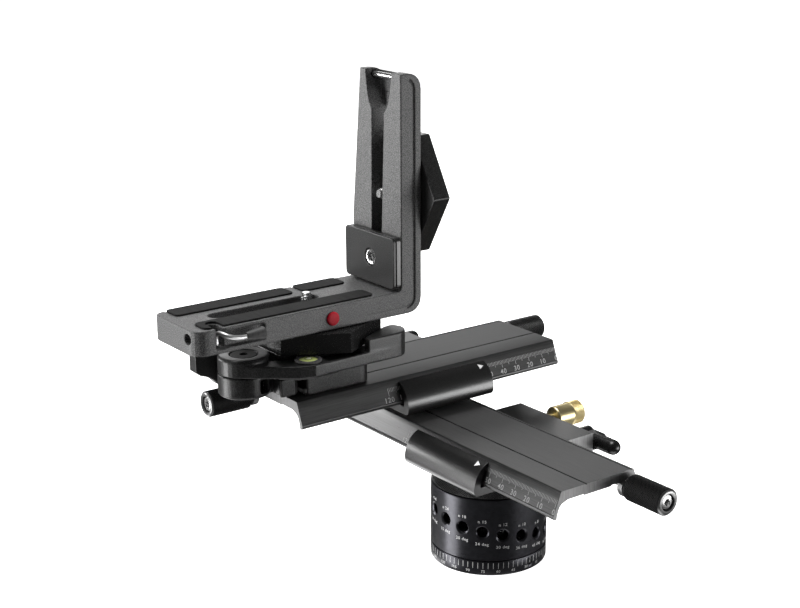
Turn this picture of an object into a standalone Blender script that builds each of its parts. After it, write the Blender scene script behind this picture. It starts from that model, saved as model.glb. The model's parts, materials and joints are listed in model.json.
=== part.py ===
"""Two-axis panoramic slider head.

An indexed pan drum carries two crossed sliding plates, a quick-release clamp and an L-bracket.
Units are metres, +Z is up. The origin is the pan axis at the underside of the base ring, +X runs
along the upper plate towards its zero end, and the lower plate's zero end points towards -Y.

Each sliding unit is drawn in its own frame: x along the travel towards the zero end, y from the
front jaw to the rear block, and z up from the top face of the sliding plate.
"""

import math

import bmesh
import bpy
from mathutils import Matrix, Vector

MM = 0.001
GAP = 0.3 * MM

# Pan unit
DRUM_RADIUS = 31.6 * MM
RING_HEIGHT = 8.0 * MM
DRUM_TOP = 43.1 * MM
NECK_TOP = 50.2 * MM
NECK_RADIUS = 24.0 * MM
DRUM_BORE = 24.0 * MM
DRUM_ROOF = 36.0 * MM
BUSH_RADIUS = 8.7 * MM
THREAD_RADIUS = 4.4 * MM
SPINDLE_RADIUS = 5.0 * MM
INDEX_COUNTS = (36, 24, 18, 15, 12, 10, 8, 6, 5, 4)
INDEX_FIRST_ANGLE = 163.5
INDEX_STEP_ANGLE = 20.2
INDEX_FIRST_HEIGHT = 29.7 * MM
INDEX_DROP = 1.72 * MM
INDEX_HOLE_RADIUS = 3.0 * MM
DISC_RADIUS = 20.5 * MM
DISC_NOTCH = 1.6 * MM
DISC_THICKNESS = 1.3 * MM
PLUNGER_ANGLE = 25.0
PLUNGER_HEIGHT = 22.0 * MM

# Sliding units
PLATE_LENGTH = 178.0 * MM
PLATE_HALF_WIDTH = 24.5 * MM
FLANGE_DROP = 14.3 * MM
CARRIAGE_LENGTH = 60.0 * MM
CARRIAGE_DEPTH = 19.5 * MM
REAR_BLOCK_BACK = 48.2 * MM
REAR_BLOCK_TOP = 3.0 * MM
SCREW_Y = 20.5 * MM
SCREW_Z = -8.0 * MM
SCREW_RADIUS = 2.2 * MM
KNOB_RADIUS = 7.1 * MM
KNOB_GAP = 2.5 * MM
KNOB_LENGTH = 26.0 * MM
BEARING_INSIDE = 1.2 * MM
BEARING_OUTSIDE = 2.1 * MM
RELEASE_X = -8.0 * MM
RELEASE_Z = -6.7 * MM
LOCK_X = 16.0 * MM
LOCK_Z = -10.0 * MM
LEVER_ARM = 13.4 * MM
LOWER_TOP = 70.0 * MM
LOWER_ZERO_END = 84.5 * MM
UPPER_TOP = 95.0 * MM
UPPER_ZERO_END = 83.1 * MM
CENTRE_Y = 67.5 * MM

# Quick-release clamp, foot plate and bracket
PIVOT = Vector((-111.2 * MM, CENTRE_Y, 0))
HUB_RADIUS = 13.8 * MM
CLAMP_FLOOR = UPPER_TOP + GAP
SEAT_TOP = 117.6 * MM
FOOT_LOW = 118.0 * MM
FOOT_HIGH = 128.8 * MM
FOOT_APEX = 32.2 * MM
FOOT_HALF = 32.0 * MM
FOOT_SHOULDER = 14.0 * MM
FOOT_BACK = 26.5 * MM
FOOT_X = -65.0 * MM
BOLT_X = -70.0 * MM
CAMERA_SCREW_X = -72.0 * MM
ARM_LOW = 129.1 * MM
ARM_TOP = 142.2 * MM
PAD_SUNK = 0.6 * MM
PAD_PROUD = 0.7 * MM
ARM_LEFT = -151.2 * MM
ARM_FRONT = 45.3 * MM
ARM_BACK = 90.0 * MM
WALL_INSIDE = -25.1 * MM
WALL_OUTSIDE = -11.6 * MM
WALL_TOP = 258.5 * MM
SLOT_Y = 67.0 * MM
SIDE_Z = 192.0 * MM
WALL_SLOT_Y = 66.6 * MM
THROAT_Y = 65.2 * MM
PIN_X = -19.4 * MM
PIN_Z = 255.2 * MM
PIN_RADIUS = 1.6 * MM
BACKSTOP_Z = 157.9 * MM
STOP_PIVOT = Vector((-136.6 * MM, 50.6 * MM, 0))

# Each pad's low corner, high corner and corner radius
PADS = {
    "rear_pad_left": ((-144 * MM, 77.2 * MM), (-73 * MM, 89.7 * MM), 2.5 * MM),
    "rear_pad_right": ((-67 * MM, 77.2 * MM), (-39.5 * MM, 89.7 * MM), 2.5 * MM),
    "front_pad": ((-144 * MM, 48.2 * MM), (-41 * MM, 60.2 * MM), 3.0 * MM),
}

ROUND = 32

COLOURS = {
    "anodised_black": ((0.035, 0.036, 0.038), 0.42, 0.75),
    "plate_black": ((0.055, 0.056, 0.058), 0.48, 0.7),
    "knurled_black": ((0.02, 0.02, 0.02), 0.6, 0.3),
    "brushed_aluminium": ((0.45, 0.45, 0.46), 0.4, 1.0),
    "brass": ((0.75, 0.58, 0.25), 0.25, 1.0),
    "steel": ((0.7, 0.7, 0.71), 0.25, 1.0),
    "casting_black": ((0.02, 0.02, 0.021), 0.45, 0.1),
    "powder_grey": ((0.16, 0.16, 0.165), 0.6, 0.1),
    "rubber": ((0.03, 0.03, 0.03), 0.85, 0.0),
    "badge_red": ((0.6, 0.02, 0.04), 0.35, 0.0),
    "vial_green": ((0.75, 0.85, 0.25), 0.1, 0.0),
    "moulded_grey": ((0.11, 0.11, 0.115), 0.5, 0.0),
}


def clear_scene():
    for obj in list(bpy.data.objects):
        bpy.data.objects.remove(obj, do_unlink=True)


def material(name):
    found = bpy.data.materials.get(name)
    if found:
        return found
    colour, roughness, metallic = COLOURS[name]
    made = bpy.data.materials.new(name)
    made.use_nodes = True
    shader = made.node_tree.nodes["Principled BSDF"]
    shader.inputs["Base Color"].default_value = (*colour, 1)
    shader.inputs["Roughness"].default_value = roughness
    shader.inputs["Metallic"].default_value = metallic
    return made


# ---------------------------------------------------------------- modelling tools


def empty(name, location=(0, 0, 0), rotation=(0, 0, 0), parent=None):
    made = bpy.data.objects.new(name, None)
    made.location = location
    made.rotation_euler = rotation
    made.parent = parent
    bpy.context.scene.collection.objects.link(made)
    return made


def finish(name, bm, colour, parent=None, location=(0, 0, 0), rotation=(0, 0, 0)):
    """The bmesh as an object, smooth where its faces meet at less than 35 degrees."""
    bmesh.ops.recalc_face_normals(bm, faces=bm.faces)
    mesh = bpy.data.meshes.new(name)
    bm.to_mesh(mesh)
    bm.free()
    mesh.shade_smooth()
    mesh.set_sharp_from_angle(angle=math.radians(35))
    if colour:
        mesh.materials.append(material(colour))
    made = bpy.data.objects.new(name, mesh)
    made.location = location
    made.rotation_euler = rotation
    made.parent = parent
    bpy.context.scene.collection.objects.link(made)
    return made


def prism(outline, low, high, axis="Z"):
    """The outline, a list of 2D points, extruded from low to high along an axis.

    The outline's two coordinates are (x, y) along Z, (y, z) along X and (x, z) along Y.
    """
    place = {
        "Z": lambda a, b, c: (a, b, c),
        "X": lambda a, b, c: (c, a, b),
        "Y": lambda a, b, c: (a, c, b),
    }[axis]
    bm = bmesh.new()
    face = bm.faces.new([bm.verts.new(place(a, b, low)) for a, b in outline])
    sides = bmesh.ops.extrude_face_region(bm, geom=[face])["geom"]
    moved = [item for item in sides if isinstance(item, bmesh.types.BMVert)]
    bmesh.ops.translate(bm, verts=moved, vec=place(0, 0, high - low))
    return bm


def turned(profile, steps=ROUND):
    """A solid of revolution about Z. The profile is a list of (radius, height) points: it starts
    and ends on the axis, or it is a ring's closed section."""
    bm = bmesh.new()
    verts = [bm.verts.new((radius, 0, height)) for radius, height in profile]
    edges = [bm.edges.new(pair) for pair in zip(verts, verts[1:])]
    if profile[0][0] > 0:
        edges.append(bm.edges.new((verts[-1], verts[0])))
    bmesh.ops.spin(
        bm,
        geom=verts + edges,
        cent=(0, 0, 0),
        axis=(0, 0, 1),
        angle=2 * math.pi,
        steps=steps,
        use_merge=True,
    )
    bmesh.ops.remove_doubles(bm, verts=bm.verts, dist=1e-6)
    return bm


def rod(radius, low, high, steps=ROUND):
    return turned([(0, low), (radius, low), (radius, high), (0, high)], steps)


def arc(centre, radius, start, end, count):
    """Points on an arc, angles in degrees, both ends included."""
    step = (end - start) / (count - 1)
    angles = [math.radians(start + step * index) for index in range(count)]
    return [
        (centre[0] + radius * math.cos(angle), centre[1] + radius * math.sin(angle))
        for angle in angles
    ]


def rounded_box(low, high, radius, count=4):
    """A rectangle's outline with round corners."""
    corners = (
        ((high[0] - radius, low[1] + radius), -90),
        ((high[0] - radius, high[1] - radius), 0),
        ((low[0] + radius, high[1] - radius), 90),
        ((low[0] + radius, low[1] + radius), 180),
    )
    outline = []
    for centre, start in corners:
        outline += arc(centre, radius, start, start + 90, count)
    return outline


def box(low, high):
    return prism([(low[0], low[1]), (high[0], low[1]), (high[0], high[1]), (low[0], high[1])],
                 low[2], high[2])


def boolean(obj, bm, operation, parent=None, location=(0, 0, 0), rotation=(0, 0, 0)):
    """Cuts the bmesh from the object, or joins it on, with a Boolean that stays on the object."""
    helper = finish(
        f"{obj.name}_{operation.lower()}_{len(obj.modifiers)}",
        bm,
        None,
        parent=obj.parent if parent is None else parent,
        location=location,
        rotation=rotation,
    )
    helper.hide_render = True
    helper.display_type = "WIRE"
    modifier = obj.modifiers.new(operation.lower(), "BOOLEAN")
    modifier.operation = operation
    modifier.solver = "EXACT"
    modifier.object = helper
    return helper


def cut(obj, bm, **where):
    return boolean(obj, bm, "DIFFERENCE", **where)


def join(obj, bm, **where):
    return boolean(obj, bm, "UNION", **where)


def along(angle, height):
    """The rotation and the place that lay a part's own Z outward along a drum radius."""
    turn = Matrix.Rotation(math.radians(angle), 4, "Z") @ Matrix.Rotation(math.pi / 2, 4, "Y")
    return {"location": (0, 0, height), "rotation": turn.to_euler()}


LAY_ALONG_X = (0, math.pi / 2, 0)
LAY_ALONG_Y = (-math.pi / 2, 0, 0)

# ---------------------------------------------------------------- pan unit


def base_ring(parent):
    chamfer = 0.5 * MM
    bore = BUSH_RADIUS + GAP
    profile = [
        (bore, 0),
        (DRUM_RADIUS - chamfer, 0),
        (DRUM_RADIUS, chamfer),
        (DRUM_RADIUS, RING_HEIGHT - chamfer),
        (DRUM_RADIUS - chamfer, RING_HEIGHT),
        (bore, RING_HEIGHT),
    ]
    ring = finish("base_ring", turned(profile, 48), "anodised_black", parent)
    screw_hole = rod(1.3 * MM, DRUM_RADIUS - 3 * MM, DRUM_RADIUS + MM, 12)
    cut(ring, screw_hole, **along(-84.4, 4.2 * MM))


def tripod_bush(parent):
    profile = [
        (THREAD_RADIUS, 0.2 * MM),
        (BUSH_RADIUS, 0.2 * MM),
        (BUSH_RADIUS, 14 * MM),
        (THREAD_RADIUS, 14 * MM),
    ]
    finish("tripod_bush", turned(profile, 24), "steel", parent)


def notched_disc(count, low, start):
    """A disc with V notches around its rim, one of them at the start angle."""
    outline = []
    for index in range(count):
        for share, radius in ((0, DISC_RADIUS - DISC_NOTCH), (0.5, DISC_RADIUS)):
            angle = math.radians(start) + 2 * math.pi * (index + share) / count
            outline.append((radius * math.cos(angle), radius * math.sin(angle)))
    return prism(outline, low, low + DISC_THICKNESS)


def index_core(parent):
    """The still hub inside the drum, with one notched disc for each index hole."""
    low = RING_HEIGHT + GAP
    top = DRUM_ROOF - GAP
    core = finish("index_core", rod(17 * MM, low, top, 16), "brushed_aluminium", parent)
    for index, count in enumerate(INDEX_COUNTS):
        low_face = index_height(index) - DISC_THICKNESS / 2
        join(core, notched_disc(count, low_face, index_angle(index)))
    bore = BUSH_RADIUS + GAP
    shaft = SPINDLE_RADIUS + GAP
    hollow = [
        (0, low - MM),
        (bore, low - MM),
        (bore, 14.4 * MM),
        (shaft, 14.4 * MM),
        (shaft, top + MM),
        (0, top + MM),
    ]
    cut(core, turned(hollow, 20))


def spindle(parent):
    profile = [
        (0, 15 * MM),
        (SPINDLE_RADIUS, 15 * MM),
        (SPINDLE_RADIUS, 44.9 * MM),
        (8.5 * MM, 44.9 * MM),
        (8.5 * MM, 49.4 * MM),
        (0, 49.4 * MM),
    ]
    finish("spindle_bolt", turned(profile, 24), "steel", parent)
    washer = [
        (5.4 * MM, 43.4 * MM),
        (11 * MM, 43.4 * MM),
        (11 * MM, 44.6 * MM),
        (5.4 * MM, 44.6 * MM),
    ]
    finish("thrust_washer", turned(washer, 24), "brass", parent)


def index_height(index):
    return INDEX_FIRST_HEIGHT - index * INDEX_DROP


def index_angle(index):
    return INDEX_FIRST_ANGLE + index * INDEX_STEP_ANGLE


def index_drum(parent):
    chamfer = 0.6 * MM
    low = RING_HEIGHT + GAP
    profile = [
        (DRUM_BORE, low),
        (DRUM_RADIUS - chamfer, low),
        (DRUM_RADIUS, low + chamfer),
        (DRUM_RADIUS, DRUM_TOP - chamfer),
        (DRUM_RADIUS - chamfer, DRUM_TOP),
        (NECK_RADIUS, DRUM_TOP),
        (NECK_RADIUS, NECK_TOP),
        (12 * MM, NECK_TOP),
        (12 * MM, DRUM_TOP),
        (SPINDLE_RADIUS + GAP, DRUM_TOP),
        (SPINDLE_RADIUS + GAP, DRUM_ROOF),
        (DRUM_BORE, DRUM_ROOF),
    ]
    drum = finish("index_drum", turned(profile, 48), "anodised_black", parent)
    hole = [
        (0, DRUM_BORE - 2 * MM),
        (INDEX_HOLE_RADIUS, DRUM_BORE - 2 * MM),
        (INDEX_HOLE_RADIUS, DRUM_RADIUS - 1.0 * MM),
        (INDEX_HOLE_RADIUS + 1.0 * MM, DRUM_RADIUS + 0.1 * MM),
        (INDEX_HOLE_RADIUS + 1.0 * MM, DRUM_RADIUS + MM),
        (0, DRUM_RADIUS + MM),
    ]
    for index in range(len(INDEX_COUNTS)):
        cut(drum, turned(hole, 12), **along(index_angle(index), index_height(index)))
    sleeve_hole = rod(5.3 * MM, DRUM_BORE - 2 * MM, DRUM_RADIUS + MM, 20)
    cut(drum, sleeve_hole, **along(PLUNGER_ANGLE, PLUNGER_HEIGHT))


def index_plunger(parent, moving):
    sleeve = [
        (2.9 * MM, 24.4 * MM),
        (5.0 * MM, 24.4 * MM),
        (5.0 * MM, 35.6 * MM),
        (2.9 * MM, 35.6 * MM),
    ]
    finish("plunger_sleeve", turned(sleeve, 24), "steel", parent,
           **along(PLUNGER_ANGLE, PLUNGER_HEIGHT))
    pin = [
        (0, 21.4 * MM),
        (1.6 * MM, 22.0 * MM),
        (2.6 * MM, 23.6 * MM),
        (2.6 * MM, 36.0 * MM),
        (7.2 * MM, 36.0 * MM),
        (7.8 * MM, 36.8 * MM),
        (7.8 * MM, 47.4 * MM),
        (6.8 * MM, 48.4 * MM),
        (0, 48.4 * MM),
    ]
    turn = Matrix.Rotation(math.pi / 2, 4, "Y").to_euler()
    finish("index_plunger", turned(pin, 28), "knurled_black", moving, rotation=turn)


def lock_ring(parent):
    inner = NECK_RADIUS + GAP
    outer = DRUM_RADIUS - 0.2 * MM
    low = DRUM_TOP + GAP
    profile = [
        (inner, low),
        (outer - 0.5 * MM, low),
        (outer, low + 0.5 * MM),
        (outer, NECK_TOP - 0.7 * MM),
        (outer - 0.5 * MM, NECK_TOP - 0.2 * MM),
        (inner, NECK_TOP - 0.2 * MM),
    ]
    finish("pan_lock_ring", turned(profile, 40), "knurled_black", parent)


# ---------------------------------------------------------------- sliding units


def plate_section():
    """The sliding plate's section: a flat deck with a flared flange on each side."""
    half = PLATE_HALF_WIDTH
    tip = half + 5.5 * MM
    side = [
        (half + 0.5 * MM, -1.0 * MM),
        (half + 1.9 * MM, -4.6 * MM),
        (half + 4.0 * MM, -9.6 * MM),
        (tip, -13.6 * MM),
        (tip - 0.5 * MM, -FLANGE_DROP),
        (tip - 2.2 * MM, -FLANGE_DROP),
        (half + 2.5 * MM, -12.6 * MM),
        (half + 1.5 * MM, -9.4 * MM),
        (half - 0.2 * MM, -7.0 * MM),
        (half - 4.5 * MM, -5.3 * MM),
        (9.6 * MM, -5.3 * MM),
        (9.0 * MM, -5.9 * MM),
    ]
    rear = [(half - 1.2 * MM, 0), (half - 0.2 * MM, -0.3 * MM)] + side
    front = [(-x, z) for x, z in reversed(side)] + [(-half, 0)]
    groove = [(-8.6 * MM, 0), (-8.0 * MM, -0.35 * MM), (-7.4 * MM, 0)]
    return rear + front + groove


def carriage_section():
    """The carriage's section: the front jaw wraps the front flange, a centre rail fills the
    plate's channel, and the floor runs back under the rear flange."""
    half = PLATE_HALF_WIDTH
    floor = -15.0 * MM
    jaw = [
        (-half - 1.3 * MM, -2.1 * MM),
        (-half - 4.6 * MM, -3.9 * MM),
        (-half - 7.6 * MM, -7.2 * MM),
        (-half - 9.6 * MM, -11.2 * MM),
        (-half - 10.3 * MM, -15.0 * MM),
        (-half - 10.0 * MM, -17.6 * MM),
        (-half - 8.3 * MM, -CARRIAGE_DEPTH),
    ]
    floor_back = half + 6.2 * MM
    rest = [
        (floor_back, -CARRIAGE_DEPTH),
        (floor_back, floor),
        (14.0 * MM, floor),
        (14.0 * MM, -6.5 * MM),
        (-half + 5.0 * MM, -6.5 * MM),
        (-half + 0.6 * MM, -7.9 * MM),
        (-half - 1.0 * MM, -10.2 * MM),
        (-half - 2.0 * MM, -13.2 * MM),
        (-half - 2.4 * MM, floor),
        (-half - 6.0 * MM, floor),
        (-half - 6.0 * MM, -13.8 * MM),
        (-half - 4.5 * MM, -9.6 * MM),
        (-half - 2.3 * MM, -4.4 * MM),
    ]
    return jaw + rest


def carriage(prefix, frame):
    half = CARRIAGE_LENGTH / 2
    body = finish(f"{prefix}_carriage", prism(carriage_section(), -half, half, "X"),
                  "anodised_black", frame)
    cut(body, box((RELEASE_X - 6.4 * MM, 13.0 * MM, -22 * MM),
                  (RELEASE_X + 6.4 * MM, 34 * MM, -5.5 * MM)))


def rear_block(prefix, frame):
    half = CARRIAGE_LENGTH / 2
    edge = PLATE_HALF_WIDTH
    floor_back = edge + 6.5 * MM
    section = [
        (edge + 1.7 * MM, -REAR_BLOCK_TOP),
        (REAR_BLOCK_BACK - 0.4 * MM, -REAR_BLOCK_TOP),
        (REAR_BLOCK_BACK, -REAR_BLOCK_TOP - 0.4 * MM),
        (REAR_BLOCK_BACK, -CARRIAGE_DEPTH + 0.4 * MM),
        (REAR_BLOCK_BACK - 0.4 * MM, -CARRIAGE_DEPTH),
        (floor_back, -CARRIAGE_DEPTH),
        (floor_back, -14.0 * MM),
        (edge + 4.4 * MM, -9.6 * MM),
    ]
    block = finish(f"{prefix}_rear_block", prism(section, -half, half, "X"),
                   "brushed_aluminium", frame)
    cut(block, box((RELEASE_X - 6.4 * MM, 29.5 * MM, -22 * MM),
                   (RELEASE_X + 6.4 * MM, 42.2 * MM, -15.3 * MM)))
    cut(block, box((RELEASE_X - 6.4 * MM, 31.4 * MM, -16 * MM),
                   (RELEASE_X + 6.4 * MM, 42.2 * MM, -4.4 * MM)))
    cut(block, rod(2.9 * MM, 36 * MM, 52 * MM, 16),
        location=(RELEASE_X, 0, RELEASE_Z), rotation=LAY_ALONG_Y)
    cut(block, rod(2.8 * MM, 36 * MM, 52 * MM, 16),
        location=(LOCK_X, 0, LOCK_Z), rotation=LAY_ALONG_Y)


def release(prefix, moving):
    """The brass knob, and the slide that carries the half nut. The parent lies on the knob's axis."""
    knob = [
        (0, 40.6 * MM),
        (2.6 * MM, 40.6 * MM),
        (2.6 * MM, 53.0 * MM),
        (5.6 * MM, 53.0 * MM),
        (6.3 * MM, 53.8 * MM),
        (6.3 * MM, 64.0 * MM),
        (6.9 * MM, 64.6 * MM),
        (6.9 * MM, 71.0 * MM),
        (6.2 * MM, 71.8 * MM),
        (0, 71.8 * MM),
    ]
    finish(f"{prefix}_release_knob", turned(knob, 22), "brass", moving, rotation=LAY_ALONG_Y)
    drop = -RELEASE_Z
    half = 6.0 * MM
    section = [
        (16.6 * MM, -19.2 * MM + drop),
        (40.2 * MM, -19.2 * MM + drop),
        (40.2 * MM, -5.0 * MM + drop),
        (36.8 * MM, -5.0 * MM + drop),
        (36.8 * MM, -15.7 * MM + drop),
        (20.4 * MM, -15.7 * MM + drop),
        (20.4 * MM, -6.6 * MM + drop),
        (16.6 * MM, -6.6 * MM + drop),
    ]
    slide = finish(f"{prefix}_half_nut", prism(section, -half, half, "X"), "brass", moving)
    notch = rod(SCREW_RADIUS + GAP, -10 * MM, 10 * MM, 16)
    cut(slide, notch, location=(0, SCREW_Y, SCREW_Z + drop), rotation=LAY_ALONG_X)


def lock_lever(prefix, moving):
    """Hub, arm and side handle. The parent lies on the hub's axis, which runs along y."""
    hub = [
        (0, 38.0 * MM),
        (2.5 * MM, 38.0 * MM),
        (2.5 * MM, 48.6 * MM),
        (4.1 * MM, 48.6 * MM),
        (4.7 * MM, 49.2 * MM),
        (4.7 * MM, 58.4 * MM),
        (3.9 * MM, 59.2 * MM),
        (0, 59.2 * MM),
    ]
    lever = finish(f"{prefix}_lock_lever", turned(hub, 20), "anodised_black", moving,
                   rotation=LAY_ALONG_Y)
    arm = rounded_box((-1.5 * MM, -4.5 * MM), (LEVER_ARM, 3.4 * MM), 2.0 * MM, 3)
    join(lever, prism(arm, 49.8 * MM, 58.8 * MM, "Y"))
    radius = 4.1 * MM
    end = LEVER_ARM + 9.8 * MM
    handle = [(0, LEVER_ARM - 4 * MM), (radius, LEVER_ARM - 4 * MM)]
    handle += arc((0, end), radius, 0, 90, 5)[:-1]
    handle.append((0, end + radius))
    join(lever, turned(handle, 16), location=(0, 54.2 * MM, 0), rotation=LAY_ALONG_X)


def sliding_plate(prefix, moving, zero_end):
    finish(f"{prefix}_plate", prism(plate_section(), zero_end - PLATE_LENGTH, zero_end, "X"),
           "plate_black", moving)


def bearing(name, moving, end, outward):
    """The end bearing: a round boss on the screw's axis, flat where it fits under the deck."""
    inner = end - outward * BEARING_INSIDE
    outer = end + outward * BEARING_OUTSIDE
    section = arc((SCREW_Y, SCREW_Z), 6.2 * MM, 160, 325, 10)
    section += [
        (24.6 * MM, -9.0 * MM),
        (23.6 * MM, -7.9 * MM),
        (18.6 * MM, -5.8 * MM),
        (15.2 * MM, -5.8 * MM),
    ]
    block = finish(name, prism(section, min(inner, outer), max(inner, outer), "X"),
                   "anodised_black", moving)
    bore = rod(SCREW_RADIUS + GAP, -10 * MM, 10 * MM, 16)
    cut(block, bore, location=(end, SCREW_Y, SCREW_Z), rotation=LAY_ALONG_X)


def knob_profile():
    """The knob's section from its plate end to its outer end, with a collar and an end recess."""
    bore = 1.7 * MM
    recess = 4.3 * MM
    radius = KNOB_RADIUS
    return [
        (bore, 0),
        (radius - 1.2 * MM, 0),
        (radius - 1.2 * MM, 1.4 * MM),
        (radius, 1.8 * MM),
        (radius, KNOB_LENGTH - 0.9 * MM),
        (radius - 0.9 * MM, KNOB_LENGTH),
        (recess, KNOB_LENGTH),
        (recess, KNOB_LENGTH - 4.0 * MM),
        (bore, KNOB_LENGTH - 4.0 * MM),
    ]


def knob_screw_profile():
    socket = 1.6 * MM
    head = 3.7 * MM
    floor = KNOB_LENGTH - 3.7 * MM
    top = KNOB_LENGTH - 0.8 * MM
    return [
        (0, floor),
        (head, floor),
        (head, top - 0.4 * MM),
        (head - 0.4 * MM, top),
        (socket, top),
        (socket, top - 1.8 * MM),
        (0, top - 1.8 * MM),
    ]


def lead_screw(prefix, turning, zero_end):
    """The lead screw with its two knobs. The parent lies on the screw's axis."""
    far_end = zero_end - PLATE_LENGTH
    journal = 1.4 * MM
    low = far_end - KNOB_GAP - 6 * MM
    high = zero_end + KNOB_GAP + 6 * MM
    profile = [
        (0, low),
        (journal, low),
        (journal, far_end - KNOB_GAP + 0.2 * MM),
        (SCREW_RADIUS, far_end - KNOB_GAP + 0.2 * MM),
        (SCREW_RADIUS, zero_end + KNOB_GAP - 0.2 * MM),
        (journal, zero_end + KNOB_GAP - 0.2 * MM),
        (journal, high),
        (0, high),
    ]
    finish(f"{prefix}_lead_screw", turned(profile, 16), "steel", turning, rotation=LAY_ALONG_X)
    for end_name, end, turn in (
        ("zero", zero_end + KNOB_GAP, LAY_ALONG_X),
        ("far", far_end - KNOB_GAP, (0, -math.pi / 2, 0)),
    ):
        finish(f"{prefix}_knob_{end_name}", turned(knob_profile(), 20), "knurled_black", turning,
               location=(end, 0, 0), rotation=turn)
        finish(f"{prefix}_knob_screw_{end_name}", turned(knob_screw_profile(), 16), "steel",
               turning, location=(end, 0, 0), rotation=turn)


def sliding_unit(prefix, location, turn, zero_end):
    """One carriage with its plate. Each moving piece hangs from an empty on its own axis."""
    frame = empty(f"{prefix}_unit", location, (0, 0, turn))
    carriage(prefix, frame)
    rear_block(prefix, frame)
    release(prefix, empty(f"{prefix}_release_axis", (RELEASE_X, 0, RELEASE_Z), parent=frame))
    lock_lever(prefix, empty(f"{prefix}_lock_axis", (LOCK_X, 0, LOCK_Z), parent=frame))
    moving = empty(f"{prefix}_slide", parent=frame)
    sliding_plate(prefix, moving, zero_end)
    bearing(f"{prefix}_bearing_zero", moving, zero_end, 1)
    bearing(f"{prefix}_bearing_far", moving, zero_end - PLATE_LENGTH, -1)
    turning = empty(f"{prefix}_screw_axis", (0, SCREW_Y, SCREW_Z), parent=moving)
    lead_screw(prefix, turning, zero_end)


def adapter_plate():
    outline = rounded_box((-21 * MM, 47 * MM), (21 * MM, 89 * MM), 3 * MM)
    low = LOWER_TOP + GAP
    high = UPPER_TOP - CARRIAGE_DEPTH - GAP
    finish("adapter_plate", prism(outline, low, high), "anodised_black")


# ---------------------------------------------------------------- quick-release clamp


def clamp_body():
    """The clamp's casting: base, boss for the lever, seat, rear jaw with its hook, and side wing."""
    right = -44 * MM
    front = 45.6 * MM
    base = arc((right - 8 * MM, front + 8 * MM), 8 * MM, -90, 0, 5)
    base += [(right, 92 * MM), (-99 * MM, 92 * MM), (-99 * MM, 62.5 * MM), (-86 * MM, 62.5 * MM),
             (-86 * MM, front + MM)]
    body = finish("clamp_body", prism(base, CLAMP_FLOOR, 107.6 * MM), "casting_black")
    neck = prism([(PIVOT.x, 62 * MM), (-94 * MM, 64 * MM), (-94 * MM, 80 * MM),
                  (PIVOT.x, 80 * MM)], 97.8 * MM, 107.2 * MM)
    join(body, neck)
    boss = [(0, 97 * MM), (13 * MM, 97 * MM), (14 * MM, 98 * MM), (14 * MM, 108.7 * MM),
            (0, 108.7 * MM)]
    join(body, turned(boss, 36), location=(PIVOT.x, PIVOT.y, 0))
    seat = rounded_box((-96.6 * MM, 53 * MM), (-44.6 * MM, 91.4 * MM), 5 * MM)
    join(body, prism(seat, 107 * MM, SEAT_TOP))
    jaw = rounded_box((-92 * MM, 89 * MM), (-46 * MM, 101.6 * MM), 2.5 * MM)
    join(body, prism(jaw, CLAMP_FLOOR + 2 * MM, SEAT_TOP - 0.6 * MM))
    hook = rounded_box((-91.4 * MM, 94.6 * MM), (-46.6 * MM, 101.2 * MM), 2.5 * MM)
    join(body, prism(hook, 114 * MM, 125 * MM))
    wing = [(-93 * MM, 96 * MM), (-101 * MM, 96 * MM)]
    wing += arc((-131 * MM, 88.5 * MM), 16.5 * MM, 35, 78, 4)
    wing += [(-130.5 * MM, 107 * MM), (-130.5 * MM, 116 * MM), (-93 * MM, 116 * MM)]
    join(body, prism(wing, 84 * MM, 91.0 * MM, "Y"))
    pocket = [(4.3 * MM, 99.4 * MM), (10.2 * MM, 99.4 * MM), (10.2 * MM, 110 * MM),
              (4.3 * MM, 110 * MM)]
    cut(body, turned(pocket, 20), location=(PIVOT.x, PIVOT.y, 0))
    cut(body, rod(4.8 * MM, 90 * MM, 112 * MM, 20), location=(PIVOT.x, PIVOT.y, 0))
    window = box((-3.0 * MM, -16 * MM, 99.6 * MM), (3.0 * MM, -8 * MM, 106.6 * MM))
    cut(body, window, location=(PIVOT.x, PIVOT.y, 0), rotation=(0, 0, math.radians(20)))
    bolt_hole = [(0, 90 * MM), (5.2 * MM, 90 * MM), (5.2 * MM, 101 * MM), (9.4 * MM, 101 * MM),
                 (9.4 * MM, 120 * MM), (0, 120 * MM)]
    cut(body, turned(bolt_hole, 24), location=(BOLT_X, CENTRE_Y + 6 * MM, 0))


def clamp_bolt():
    profile = [(0, 95.4 * MM), (4.7 * MM, 95.4 * MM), (4.7 * MM, 101.4 * MM), (9 * MM, 101.4 * MM),
               (9 * MM, 107.6 * MM), (0, 107.6 * MM)]
    finish("clamp_bolt", turned(profile, 24), "steel", location=(BOLT_X, CENTRE_Y + 6 * MM, 0))


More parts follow.
